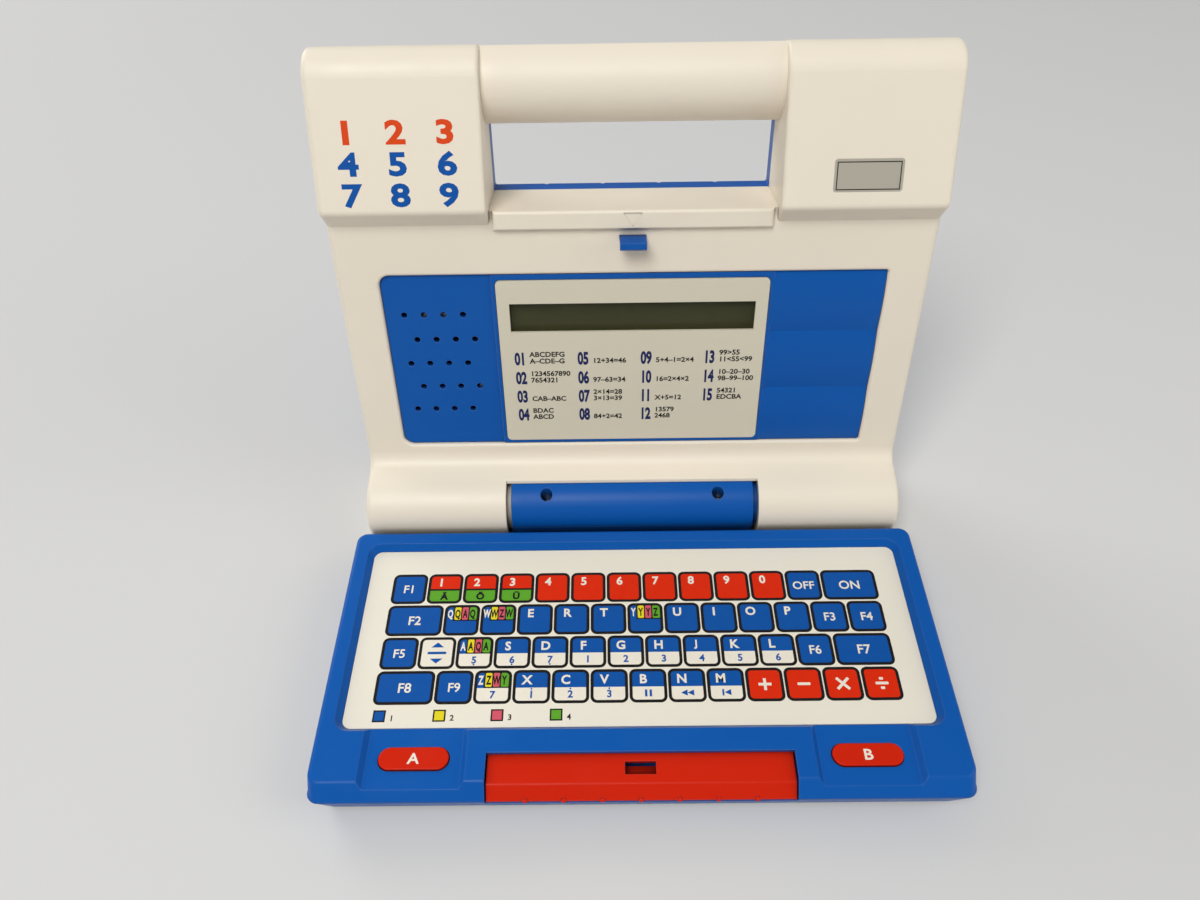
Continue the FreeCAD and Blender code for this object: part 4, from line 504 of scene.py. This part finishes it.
def rubber(name, colour):
    material, tree, shader = new_material(name)
    skin = place_group(tree, MOULDED_SKIN, Colour=colour, Tone=0.2, Polish=0.82, Uneven=0.1)
    dust = math_node(tree, "MULTIPLY", noise(tree, DUST_SCALE, detail=5), DUST_SHARE)
    feed(tree, mixed(tree, dust, skin["Colour"], DUST), shader["Base Color"])
    feed(tree, skin["Roughness"], shader["Roughness"])
    feed(tree, bump(tree, skin["Grain"], strength=0.35, distance=0.0003), shader["Normal"])
    return material


PRINTED_SHEET = sheet("printed_sheet", SHEET, polish=0.38)
PLATE_SHEET = sheet("plate_sheet", PLATE, polish=0.42)
SATIN_PLATE = sheet("satin_plate", seen(178, 172, 156), polish=0.35)
CLEAR_FILM = sheet("clear_film", seen(196, 204, 190), polish=0.25)
RUBBER = rubber("rubber", seen(30, 30, 30))
CONE_PAPER = rubber("cone_paper", seen(18, 17, 16))
print("sheets, rubber and paper ready")

# %% [markdown]
# ### Metals
# Screws, springs and contacts are bright zinc, brushed a little by their making. The same function makes the
# dull magnet and the foil round the battery cells, where the brushing is pulled out along the cell.

# %% Metals
BRUSH_SCALE = 900
BRUSH_SPREAD = 0.2
EVEN = (1, 1, 1)
ALONG_CELL = (1, 1, 0.2)


def metal(name, colour, roughness, stretch):
    material, tree, shader = new_material(name)
    skin = place_group(tree, MOULDED_SKIN, Colour=colour, Tone=0.25, Polish=roughness, Uneven=0.2)
    edge = place_group(tree, EDGE_LIGHT, Width=0.0003)
    brushed = noise(tree, BRUSH_SCALE, 3, stretch)
    uneven = spread(tree, brushed, BRUSH_SPREAD)
    feed(tree, 1.0, shader["Metallic"])
    feed(tree, skin["Colour"], shader["Base Color"])
    feed(tree, math_node(tree, "ADD", skin["Roughness"], uneven), shader["Roughness"])
    relief = bump(tree, brushed, strength=0.08, distance=0.0001, normal=edge["Normal"])
    feed(tree, relief, shader["Normal"])
    return material


ZINC = metal("bright_zinc", seen(196, 194, 190), roughness=0.3, stretch=EVEN)
FERRITE = metal("dull_magnet", seen(70, 70, 72), roughness=0.6, stretch=EVEN)
CELL_WRAP = metal("cell_wrap", seen(60, 62, 70), roughness=0.4, stretch=ALONG_CELL)
print("metals:", ZINC.name, FERRITE.name, CELL_WRAP.name)

# %% [markdown]
# ### Glass and boards
# The display is a dark olive glass behind a clear pane. A pane that bends light would keep the lamps off the
# display, and leave it noisy. This one is thin and flat, so a low alpha does as well. The circuit boards are
# green lacquer over copper, with the paths just showing: a brick pattern turned fine enough gives straight
# tracks without drawing any.

# %% Glass and boards
PANE_ALPHA = 0.12
PANE_ROUGHNESS = 0.05
LACQUER_ROUGHNESS = 0.35


def clear_pane(name):
    material, tree, shader = new_material(name)
    feed(tree, seen(70, 70, 52), shader["Base Color"])
    feed(tree, PANE_ALPHA, shader["Alpha"])
    use = place_group(tree, SIGNS_OF_USE, Amount=0.2)
    feed(tree, math_node(tree, "ADD", PANE_ROUGHNESS, use["Smudge"]), shader["Roughness"])
    return material


def dark_display(name):
    material, tree, shader = new_material(name)
    skin = place_group(tree, MOULDED_SKIN, Colour=seen(98, 97, 58), Tone=0.1, Polish=0.22, Uneven=0.05)
    feed(tree, skin["Colour"], shader["Base Color"])
    feed(tree, skin["Roughness"], shader["Roughness"])
    return material


def circuit_board(name):
    material, tree, shader = new_material(name)
    place = tree.nodes.new("ShaderNodeTexCoord")
    tracks = tree.nodes.new("ShaderNodeTexBrick")
    values = {"Scale": 130, "Mortar Size": 0.06, "Color1": seen(18, 74, 40), "Color2": seen(24, 86, 46),
              "Mortar": seen(58, 124, 66), "Vector": place.outputs["Object"]}
    for label, value in values.items():
        feed(tree, value, tracks.inputs[label])
    feed(tree, tracks.outputs["Color"], shader["Base Color"])
    feed(tree, bump(tree, tracks.outputs["Fac"], strength=0.2, distance=0.0001), shader["Normal"])
    feed(tree, LACQUER_ROUGHNESS, shader["Roughness"])
    return material


CLEAR_PANE = clear_pane("clear_pane")
DARK_DISPLAY = dark_display("dark_display")
CIRCUIT_BOARD = circuit_board("circuit_board")
print(len(bpy.data.materials), "materials so far")

# %% [markdown]
# ## Dressing the solids
# Every solid gets one of these finishes. The list is kept by finish and not by place, because that is how
# the parts of a toy are ordered from a moulder: all the blue mouldings in one colour, all the screws in one
# box.

# %% Dress the solids
DRESS = (
    (CREAM_PLASTIC, "lid_front_shell hinge_spacer_left"),
    (BLUE_PLASTIC, "deck_shell base_bottom_case hinge_cover hinge_spacer_right lid_back_cover "
                   "screen_surround battery_door latch_hook"),
    (RED_PLASTIC, "latch_bar player_a_button player_b_button"),
    (PRINTED_SHEET, "keyboard_overlay"),
    (PLATE_SHEET, "screen_plate"),
    (CLEAR_FILM, "membrane_sheet membrane_tail"),
    (CLEAR_PANE, "screen_window"),
    (DARK_DISPLAY, "display_glass"),
    (GREY_PLASTIC, "hinge_pin_left hinge_pin_right"),
    (BLACK_PLASTIC, "tail_socket display_frame board_parts base_cable lid_cable"),
    (CIRCUIT_BOARD, "keyboard_board player_a_board player_b_board main_board"),
    (RUBBER, "player_a_dome player_b_dome base_feet display_strips"),
    (CONE_PAPER, "speaker_cone"),
    (FERRITE, "speaker_magnet"),
    (CELL_WRAP, "battery_cells"),
    (SATIN_PLATE, "name_plate"),
    (ZINC, "hinge_cover_screws latch_springs base_screws board_screws speaker_frame battery_springs "
           "battery_contacts battery_door_screw lid_screws"),
)
dressed = set()
for finish, names in DRESS:
    for name in names.split():
        nodes[name].data.materials.clear()
        nodes[name].data.materials.append(finish)
        dressed.add(name)
print(len(dressed), "of", len(nodes), "solids dressed; left over:", sorted(set(nodes) - dressed))

# %% [markdown]
# ## Springs and rubber domes
# Two coil springs push the latch forward, and a rubber dome lifts each player button. A rigid copy would be
# cut by the bar or the button that presses on it. The imported record says which end of each one stays where it
# is. Here a copy of the solid stands for each one and rides on the body of its joint's parent; it does not
# shorten as its joint moves.

# %% Springs and rubber domes
record = frame["record"]


def soften(node, joint):
    """A copy of a solid that rides on the body of its joint's parent."""
    piece = add_object(node + "_soft", nodes[node].data.copy())
    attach(piece, joint["parent"])
    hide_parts(node)
    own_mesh(piece)


for joint in record["behaviour"]["joints"]:
    for soft in joint.get("deforming_nodes", []):
        letter = soft["mode"][-1]
        soften(soft["node"], joint)

# %% [markdown]
# ## Printing
# The keys are not separate caps: they are printed on the sheet in black, blue, red, white and a few small
# colours. A picture would be the quick way, but a film of ink as a thin closed plate stays sharp from any
# distance. Each ink is a material of its own, and all of them use the ink film group.

# %% Inks
INKS = {
    "black": seen(26, 23, 22),
    "blue": seen(8, 82, 162),
    "red": seen(222, 42, 2),
    "white": seen(238, 230, 212),
    "green": seen(94, 164, 42),
    "yellow": seen(230, 212, 36),
    "pink": seen(212, 88, 104),
    "navy": seen(34, 42, 92),
    "orange": seen(222, 72, 20),
}
INK_GLOSS = 0.2


def ink_material(name):
    material, tree, shader = new_material("ink_" + name)
    film = place_group(tree, INK_FILM, Colour=INKS[name], Mottle=0.1)
    feed(tree, film["Colour"], shader["Base Color"])
    feed(tree, film["Roughness"], shader["Roughness"])
    feed(tree, INK_GLOSS, shader["Specular IOR Level"])
    return material


INK_MATERIALS = {name: ink_material(name) for name in INKS}
print(len(INK_MATERIALS), "inks ready")

# %% [markdown]
# ### Outlines
# Most printed shapes are rectangles, and many of them have round corners. One function walks round such a
# rectangle, corner by corner, and gives the points of its outline. A corner without a radius is one point.

# %% Outlines
ARC_STEPS = 5


def rounded(left, right, low, high, radii):
    """Points round a rectangle, with radii for the low left, low right, top right and top left corner."""
    centres = ((left, low, 1, 1), (right, low, -1, 1), (right, high, -1, -1), (left, high, 1, -1))
    points = []
    for index, (x, y, across, up) in enumerate(centres):
        radius = radii[index]
        first = math.pi + index * math.pi / 2
        for step in range(ARC_STEPS + 1 if radius > 0 else 1):
            angle = first + step * math.pi / 2 / ARC_STEPS
            points.append((x + radius * (across + math.cos(angle)), y + radius * (up + math.sin(angle))))
    return points


print("a square with round corners has", len(rounded(0, 1, 0, 1, (0.1,) * 4)), "points")

# %% [markdown]
# ### A page of ink
# A page holds the films of one printed face. Shapes are drawn on it in millimetres, each in an ink and at a
# level. All films start at the face, and a film of a higher level is thicker, so it covers the lower ones.
# In the end every ink becomes one object. A word is made by Blender's text tool and turned into a mesh. The
# tool's own size is larger than a capital is high, and the factor CAPITAL goes from one to the other.

# %% A page of ink
LEVEL = 0.025
CAPITAL = 1.37
CURVE_STEPS = 3
SAME_POINT = 1e-5


class Page:
    """One printed face: a frame in the room, the body that carries it, and a mesh for each ink."""

    def __init__(self, name, place, body):
        self.name, self.place, self.body = name, place, body
        self.meshes = {}

    def mesh(self, ink):
        return self.meshes.setdefault(ink, bmesh.new())

    def plate(self, ink, level, points):
        """A flat film with a given outline, standing on the page."""
        mesh = self.mesh(ink)
        height = level * LEVEL
        low = [mesh.verts.new((x, y, 0)) for x, y in points]
        high = [mesh.verts.new((x, y, height)) for x, y in points]
        mesh.faces.new(high)
        mesh.faces.new(list(reversed(low)))
        for index in range(len(points)):
            after = (index + 1) % len(points)
            mesh.faces.new((low[index], low[after], high[after], high[index]))

    def bar(self, ink, level, left, right, low, high, radius=0.0):
        self.plate(ink, level, rounded(left, right, low, high, (radius,) * 4))

    def word(self, ink, level, text, x, y, size, bold=0.02, wide=1.0, align="CENTER"):
        """A word whose middle line is at y. The size is the height of a capital."""
        curve = bpy.data.curves.new("word", "FONT")
        curve.body = text
        curve.align_x = align
        curve.size = size * CAPITAL
        curve.offset = bold * size
        curve.extrude = level * LEVEL / 2
        curve.resolution_u = CURVE_STEPS
        letters = add_object("word", curve)
        solid = bpy.data.meshes.new_from_object(letters.evaluated_get(bpy.context.evaluated_depsgraph_get()))
        lift = Matrix.Translation((x, y - size / 2, level * LEVEL / 2))
        solid.transform(lift @ Matrix.Diagonal((wide, 1, 1, 1)))
        self.mesh(ink).from_mesh(solid)
        bpy.data.objects.remove(letters)
        bpy.data.curves.remove(curve)
        bpy.data.meshes.remove(solid)

    def print_all(self):
        """Turn every ink of the page into an object that rides on the page's body."""
        for ink, mesh in self.meshes.items():
            bmesh.ops.remove_doubles(mesh, verts=mesh.verts, dist=SAME_POINT)
            data = bpy.data.meshes.new(self.name + "_" + ink)
            mesh.to_mesh(data)
            mesh.free()
            data.transform(self.place @ Matrix.Scale(MM, 4))
            data.materials.append(INK_MATERIALS[ink])
            piece = add_object(self.name + "_" + ink, data)
            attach(piece, self.body)
        print(self.name, "printed in", sorted(self.meshes))


print("films are", LEVEL, "mm thick for each level")

# %% [markdown]
# ## The keyboard
# Four rows of thirteen keys fill the sheet from edge to edge. All keys are one unit wide but one in each row,
# marked with a star, which takes up what is left. A key is a black plate with a coloured face set inside it,
# so the black shows as an even line. Rows and keys are measured from the middle of the deck's rear edge.

# %% The key grid
LINE_LEVEL = 1
FACE_LEVEL = 2
FOOT_LEVEL = 3
BACKING_LEVEL = 4
MARK_LEVEL = 5
LETTER_LEVEL = 6
KEY_LEFT = -114.1
KEY_PITCH = 16.86
WIDE_PITCH = 26.2
KEY_SPACE = 0.55
KEY_LINE = 1.35
KEY_CORNER = 2.9
FACE_CORNER = KEY_CORNER - KEY_LINE
ROW_SPANS = ((-22.7, -39.1), (-39.9, -56.0), (-56.8, -72.7), (-73.5, -89.4))
ROWS = (
    "F1 1 2 3 4 5 6 7 8 9 0 OFF ON*",
    "F2* Q W E R T Y U I O P F3 F4",
    "F5 updown A S D F G H J K L F6 F7*",
    "F8* F9 Z X C V B N M + - x :",
)
deck_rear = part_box("deck_shell")[1].y
sheet_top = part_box("keyboard_overlay")[1].z
keyboard = Page("keyboard", Matrix.Translation((0, deck_rear, sheet_top)), "base")


def key_face(left, right, low, high):
    """The black plate of a key. Gives back the edges of the face inside its line."""
    keyboard.bar("black", LINE_LEVEL, left, right, low, high, KEY_CORNER)
    return left + KEY_LINE, right - KEY_LINE, low + KEY_LINE, high - KEY_LINE


print("key rows of", [round(high - low, 1) for high, low in ROW_SPANS], "mm")

# %% [markdown]
# ### Feet and notes
# Many keys have a face in two parts. The first three figures have a green foot with an accented letter. Most
# letters of the lower rows have a white foot with a note, written as a figure with a dot above or below it
# for the octave. Three of them have a plain sign instead: a pause, two arrowheads, or a bar and an arrowhead.

# %% Feet and notes
NOTES = {"A": "5.", "S": "6.", "D": "7.", "F": "1", "G": "2", "H": "3", "J": "4", "K": "5", "L": "6",
         "Z": "7", "X": "1'", "C": "2'", "V": "3'", "B": "pause", "N": "back", "M": "first"}
SMALL_CAP = 3.4
ARROWHEAD = 2.8
PAUSE_APART = 1.0
PAUSE_HALF = 0.5
PAUSE_REACH = 1.6
FIRST_SHIFT = 0.5
FIRST_LEFT = 1.9
FIRST_RIGHT = 1.1
FIRST_REACH = 1.5
OCTAVE_LIFT = 2.4
OCTAVE_HALF = 0.4
OCTAVE_ROUND = 0.39


def foot(ink, left, right, low, top):
    """The lower part of a two-part face. Gives back the height of its middle."""
    keyboard.plate(ink, FOOT_LEVEL, rounded(left, right, low, top, (FACE_CORNER, FACE_CORNER, 0, 0)))
    return (low + top) / 2


def note_bar(left, right, low, high, radius=0.0):
    keyboard.bar("blue", MARK_LEVEL, left, right, low, high, radius)


def arrowhead(x, y):
    """A small triangle that points left."""
    half = ARROWHEAD / 2
    keyboard.plate("blue", MARK_LEVEL, [(x + half, y - half), (x + half, y + half), (x - half, y)])


def note(sign, x, y):
    """What stands in a white foot: a figure with its octave dot, or a plain sign."""
    if sign == "pause":
        for middle in (x - PAUSE_APART, x + PAUSE_APART):
            note_bar(middle - PAUSE_HALF, middle + PAUSE_HALF, y - PAUSE_REACH, y + PAUSE_REACH)
    elif sign == "back":
        arrowhead(x - ARROWHEAD / 2, y)
        arrowhead(x + ARROWHEAD / 2, y)
    elif sign == "first":
        arrowhead(x + FIRST_SHIFT, y)
        note_bar(x - FIRST_LEFT, x - FIRST_RIGHT, y - FIRST_REACH, y + FIRST_REACH)
    else:
        keyboard.word("blue", MARK_LEVEL, sign[0], x, y, SMALL_CAP, bold=0.04)
        if len(sign) > 1:
            dot = y + (OCTAVE_LIFT if sign[1] == "'" else -OCTAVE_LIFT)
            note_bar(x - OCTAVE_HALF, x + OCTAVE_HALF, dot - OCTAVE_HALF, dot + OCTAVE_HALF, OCTAVE_ROUND)


print(len(NOTES), "keys have a note")

# %% [markdown]
# ### Tabs
# Five letters wear four narrow tabs along the top of the face, one for each colour of the legend below the
# keys. The first is the blue of the face itself, so only the other three are drawn, on a black backing that
# shows between them.

# %% Tabs
TABS = {"Q": "QQAQ", "W": "WWZW", "Y": "YYYZ", "A": "AAQA", "Z": "ZZWY"}
TAB_INKS = (None, "yellow", "pink", "green")
TAB_HEIGHT = 6.6
TAB_LINE = 0.55
TAB_CAP = 4.2
TAB_WIDE = 0.52


def tabs(letters, left, right, high):
    """Four narrow tabs along the top of a face, one letter on each."""
    width = (right - left) / len(letters)
    low = high - TAB_HEIGHT
    last = len(letters) - 1
    backing = rounded(left + width - TAB_LINE, right, low - TAB_LINE, high, (0, 0, FACE_CORNER, 0))
    keyboard.plate("black", BACKING_LEVEL, backing)
    for index, letter in enumerate(letters):
        start = left + index * width
        ink = TAB_INKS[index]
        if ink:
            tight = (TAB_LINE, TAB_LINE, FACE_CORNER if index == last else TAB_LINE, TAB_LINE)
            end = start + width - (0 if index == last else TAB_LINE)
            keyboard.plate(ink, MARK_LEVEL, rounded(start, end, low, high, tight))
        middle = start + (width - TAB_LINE) / 2
        keyboard.word("black" if ink else "white", LETTER_LEVEL, letter, middle, (low + high) / 2, TAB_CAP,
                      bold=0.05, wide=TAB_WIDE)


print(len(TABS), "keys have tabs")

# %% [markdown]
# ### Signs
# Four red keys carry the signs of arithmetic. Two strokes that cross at one level would share the same faces
# where they meet, so a cross is drawn as one outline of twelve corners. A white key has a triangle that
# points up, a rule, and a triangle that points down.

# %% Signs
SIGNS = "+-x:"
SIGN_REACH = 2.8
TIMES_REACH = 3.7
SIGN_STROKE = 1.25
SIGN_ROUND = 0.4
DOT_LIFT = 2.2
DOT_HALF = 0.9
POINTER_LIFT = 4.0
POINTER_WIDTH = 5.6
POINTER_HEIGHT = 2.4
RULE_REACH = 4.2
RULE_HALF = 0.6
RULE_ROUND = 0.5


def cross(x, y, angle, reach):
    """Two white strokes that cross, as one outline, turned about its middle."""
    half = SIGN_STROKE / 2
    arm = [Vector((half, half)), Vector((reach, half)), Vector((reach, -half))]
    points = []
    for quarter in range(4):
        turn = Matrix.Rotation(math.radians(angle - quarter * 90), 2)
        points += [Vector((x, y)) + turn @ corner for corner in arm]
    keyboard.plate("white", LETTER_LEVEL, list(reversed(points)))


def stroke(x, y, reach):
    half = SIGN_STROKE / 2
    keyboard.bar("white", LETTER_LEVEL, x - reach, x + reach, y - half, y + half, SIGN_ROUND)


def draw_sign(sign, x, y):
    if sign == "+":
        cross(x, y, 0, SIGN_REACH)
    elif sign == "x":
        cross(x, y, 45, TIMES_REACH)
    else:
        stroke(x, y, SIGN_REACH)
    if sign == ":":
        stroke(x, y - DOT_LIFT, DOT_HALF)
        stroke(x, y + DOT_LIFT, DOT_HALF)


def pointer(x, y, height):
    """A small triangle that points up, or down where its height is negative."""
    half = POINTER_WIDTH / 2
    points = [(x - half, y - height / 2), (x + half, y - height / 2), (x, y + height / 2)]
    keyboard.plate("blue", MARK_LEVEL, points if height > 0 else list(reversed(points)))


def draw_up_down(x, y):
    pointer(x, y + POINTER_LIFT, POINTER_HEIGHT)
    pointer(x, y - POINTER_LIFT, -POINTER_HEIGHT)
    keyboard.bar("blue", MARK_LEVEL, x - RULE_REACH, x + RULE_REACH, y - RULE_HALF, y + RULE_HALF,
                 RULE_ROUND)


print(len(SIGNS), "signs ready")

# %% [markdown]
# ### Drawing the keys
# One function looks at what a key says and picks its parts. Keys that only name a function carry a plain F
# and a number, and the two power keys say ON and OFF. Letters and figures stand near the top of the face, a
# little to the left. The typeface lets J hang below the line, so that letter is drawn smaller.

# %% Draw the keys
ACCENTS = {"1": "Ä", "2": "Ö", "3": "Ü"}
ACCENT_FOOT = 0.42
ACCENT_LINE = 0.7 * KEY_LINE
ACCENT_DROP = 0.3
NOTE_FOOT = 0.46
CAP = 4.3
WIDE_CAP = 4.6
WIDE_FACE = 20.0
LETTER_SHIFT = 2.1
LETTER_DROP = 3.3
HOOKED_SHARE = 0.8


def draw_letter(label, left, right, low, high):
    """A letter or a figure, with the foot or the tabs that go with it."""
    x = (left + right) / 2
    if label in ACCENTS:
        top = low + (high - low) * ACCENT_FOOT
        keyboard.bar("black", BACKING_LEVEL, left, right, top, top + ACCENT_LINE)
        foot_y = foot("green", left, right, low, top) - ACCENT_DROP
        keyboard.word("black", LETTER_LEVEL, ACCENTS[label], x, foot_y, SMALL_CAP, bold=0.06)
    if label in NOTES:
        note(NOTES[label], x, foot("white", left, right, low, low + (high - low) * NOTE_FOOT))
    if label in TABS:
        tabs(TABS[label], left, right, high)
    else:
        size = CAP * (HOOKED_SHARE if label == "J" else 1)
        letter_y = high - LETTER_DROP + (CAP - size) / 2
        keyboard.word("white", LETTER_LEVEL, label, x - LETTER_SHIFT, letter_y, size, bold=0.04)


def draw_key(label, left, right, low, high):
    left, right, low, high = key_face(left, right, low, high)
    x, y = (left + right) / 2, (low + high) / 2
    red = label in SIGNS or label.isdigit()
    ink = "white" if label == "updown" else "red" if red else "blue"
    keyboard.bar(ink, FACE_LEVEL, left, right, low, high, FACE_CORNER)
    if label == "updown":
        draw_up_down(x, y)
    elif label in SIGNS:
        draw_sign(label, x, y)
    elif label[0] == "F" and len(label) == 2 or label in ("ON", "OFF"):
        keyboard.word("white", LETTER_LEVEL, label, x, y, WIDE_CAP if right - left > WIDE_FACE else CAP)
    else:
        draw_letter(label, left, right, low, high)


for labels, (row_high, row_low) in zip(ROWS, ROW_SPANS):
    x = KEY_LEFT
    for label in labels.split():
        pitch = WIDE_PITCH if label.endswith("*") else KEY_PITCH
        draw_key(label.rstrip("*"), x, x + pitch - KEY_SPACE, row_low, row_high)
        x += pitch
    print("row ends at", round(x - KEY_SPACE, 1))

# %% [markdown]
# ### The legend
# Below the keys, four small squares show the colours of the tabs, each with a number. With them the keyboard
# is complete, and its page is printed.

# %% The legend
PRINT_LEVEL = 2
LEGEND = ((-110.3, "blue"), (-84.7, "yellow"), (-60.1, "pink"), (-35.0, "green"))
LEGEND_Y = -94.5
LEGEND_HALF = 2.05
LEGEND_LINE = 0.65
LEGEND_SPACE = 3.4
LEGEND_DROP = 0.9
LEGEND_CAP = 2.6


def legend_square(ink, level, x, half):
    keyboard.bar(ink, level, x - half, x + half, LEGEND_Y - half, LEGEND_Y + half)


for number, (x, ink) in enumerate(LEGEND, start=1):
    legend_square("black", LINE_LEVEL, x, LEGEND_HALF + LEGEND_LINE)
    legend_square(ink, FACE_LEVEL, x, LEGEND_HALF)
    number_x = x + LEGEND_HALF + LEGEND_SPACE
    keyboard.word("black", PRINT_LEVEL, str(number), number_x, LEGEND_Y - LEGEND_DROP, LEGEND_CAP, bold=0.03)
keyboard.print_all()

# %% [markdown]
# ## The player buttons
# The two red buttons at the front have round ends. Each carries one white letter, and its page rides on the
# button, so that the letter goes down with it.

# %% Letters on the player buttons
PLAYER_CAP = 4.6
PLAYER_WIDE = 1.1

for letter in "AB":
    node = "player_" + letter.lower() + "_button"
    low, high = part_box(node)
    middle = Matrix.Translation(((low.x + high.x) / 2, (low.y + high.y) / 2, high.z))
    pill = Page("player_" + letter.lower(), middle, node)
    pill.word("white", PRINT_LEVEL, letter, 0, 0, PLAYER_CAP, bold=0.03, wide=PLAYER_WIDE)
    pill.print_all()

# %% [markdown]
# ## The screen plate
# The plate lists fifteen activities in four columns. Each has a bold number, with a short sum or a row of
# figures or letters beside it in thin type.

# %% Numbers on the screen plate
COLUMN_LEFT = -54.6
COLUMN_PITCH = 29.35
ROW_TOP = 79.3
ROW_PITCH = 10.2
ROWS_PER_COLUMN = 4
NUMBER_CAP = 6.4
NUMBER_WIDE = 0.58
FIGURES_START = 7.0
FIGURES_DROP = 1.35
FIGURES_CAP = 2.6
FIGURES_WIDE = 1.05
LINE_PITCH = 3.5
ACTIVITIES = ("ABCDEFG/A–CDE–G", "1234567890/7654321", "CAB–ABC", "BDAC/ABCD",
              "12+34=46", "97–63=34", "2×14=28/3×13=39", "84÷2=42",
              "5+4–1=2×4", "16=2×4×2", "X+5=12", "13579/2468",
              "99>55/11<55<99", "10–20–30/98–99–100", "54321/EDCBA")
plate_front = corners_in(lid_place, "screen_plate")[0].y
facing = Matrix.Rotation(math.pi / 2, 4, "X")
screen = Page("screen", lid_place @ Matrix.Translation((0, plate_front, 0)) @ facing, "lid")
for index, activity in enumerate(ACTIVITIES):
    column, row = divmod(index, ROWS_PER_COLUMN)
    x = COLUMN_LEFT + column * COLUMN_PITCH
    y = ROW_TOP - row * ROW_PITCH
    screen.word("navy", PRINT_LEVEL, "%02d" % (index + 1), x, y, NUMBER_CAP, 0.06, NUMBER_WIDE, "LEFT")
    for line, figures in enumerate(reversed(activity.split("/"))):
        figures_y = y - FIGURES_DROP + line * LINE_PITCH
        screen.word("black", PRINT_LEVEL, figures, x + FIGURES_START, figures_y, FIGURES_CAP, 0.035,
                    FIGURES_WIDE, "LEFT")
screen.print_all()

# %% [markdown]
# ## The print on the left block
# The left block of the lid wears a square of large figures in blue and orange red. The front of the block
# slopes back a little more than the lid, as the small plate on the right block does. That plate is a real
# solid, so it says how high and how far forward the slope is.

# %% Figures on the left block
BLOCK_TILT = math.radians(12.5)
FIGURE_TOP = 26.0
FIGURE_CAP = 9.0
FIGURE_WIDE = 1.3
FIGURE_ROW = 12.2
FIGURE_COLUMN = 20.0
badge_low, badge_high = corners_in(lid_place, "name_plate")
badge_middle = (badge_low + badge_high) / 2


def block_front(x):
    """A frame on the slope of the blocks, as high as the foot of the small plate."""
    foot_place = Matrix.Translation((x, badge_low.y, badge_low.z))
    return lid_place @ foot_place @ Matrix.Rotation(-BLOCK_TILT, 4, "X") @ facing


block = Page("block", block_front(-badge_middle.x), "lid")
for row, (numbers, ink) in enumerate((("123", "orange"), ("456", "blue"), ("789", "blue"))):
    for column, number in enumerate(numbers):
        x = (column - 1) * FIGURE_COLUMN
        y = FIGURE_TOP - row * FIGURE_ROW
        block.word(ink, PRINT_LEVEL, number, x, y, FIGURE_CAP, bold=0.05, wide=FIGURE_WIDE)
block.print_all()

# %% [markdown]
# ### A line round the small plate
# The plate on the right block is left bare, but for a thin dark line inside its edge. One film with a hole in
# it would be awkward to draw. Four narrow films, end to end, look the same. They are a little thicker than
# the print on the left, because the plate's face stands just in front of this frame.

# %% The line on the small plate
BADGE_LINE = 0.4
BADGE_INSET = 1.0
BADGE_LEVEL = 3
badge = Page("badge", block_front(badge_middle.x), "lid")
half_wide = (badge_high.x - badge_low.x) / 2 / MM - BADGE_INSET
top = (badge_high.z - badge_low.z) / math.cos(BLOCK_TILT) / MM - BADGE_INSET
for low, high in ((BADGE_INSET, BADGE_INSET + BADGE_LINE), (top - BADGE_LINE, top)):
    badge.bar("black", BADGE_LEVEL, -half_wide, half_wide, low, high)
for left, right in ((-half_wide, BADGE_LINE - half_wide), (half_wide - BADGE_LINE, half_wide)):
    badge.bar("black", BADGE_LEVEL, left, right, BADGE_INSET + BADGE_LINE, top - BADGE_LINE)
badge.print_all()

# %% [markdown]
# ## The floor
# The toy stands on a plain pale floor. It is so large that its edges stay out of the picture, or far behind.

# %% Floor
FLOOR_SIZE = 16.0
half_floor = FLOOR_SIZE / 2
floor_corners = [(x * half_floor, y * half_floor, 0) for x, y in ((-1, -1), (1, -1), (1, 1), (-1, 1))]
floor_mesh = bpy.data.meshes.new("floor")
floor_mesh.from_pydata(floor_corners, [], [(0, 1, 2, 3)])
floor = add_object("floor", floor_mesh)
floor_material, floor_tree, floor_shader = new_material("pale_floor")
feed(floor_tree, seen(214, 213, 211), floor_shader["Base Color"])
feed(floor_tree, 0.9, floor_shader["Roughness"])
floor_mesh.materials.append(floor_material)
print("a floor of", FLOOR_SIZE, "m")

# %% [markdown]
# ## Light
# The light is soft: one large lamp above and in front, weaker ones from the side and from behind, and a pale
# sky. The level is plain, so that a colour comes out about as written. The lamp behind stands well to one
# side, because the keyboard would mirror one that faces the camera.

# %% Light
AIM = (0.0, 0.03, 0.08)
SKY_COLOUR = (0.95, 0.97, 1.0, 1.0)
SKY_STRENGTH = 0.26


def lamp(name, place, size, power):
    """A square soft lamp that looks at the toy."""
    data = bpy.data.lights.new(name, "AREA")
    data.shape = "SQUARE"
    data.size = size
    data.energy = power
    towards = Vector(AIM) - Vector(place)
    turn = towards.to_track_quat("-Z", "Y").to_matrix().to_4x4()
    add_object(name, data).matrix_world = Matrix.Translation(place) @ turn


lamp("key_lamp", (-0.6, -1.25, 2.5), size=1.3, power=51.0)
lamp("side_lamp", (2.2, -0.4, 1.4), size=1.6, power=13.5)
lamp("back_lamp", (-1.9, 1.9, 1.2), size=1.6, power=28.0)
world = bpy.data.worlds.new("sky")
world.use_nodes = True
background = world.node_tree.nodes["Background"].inputs
feed(world.node_tree, SKY_COLOUR, background["Color"])
feed(world.node_tree, SKY_STRENGTH, background["Strength"])
bpy.context.scene.world = world
bpy.context.scene.view_settings.view_transform = "Standard"
print("three lamps and a sky")
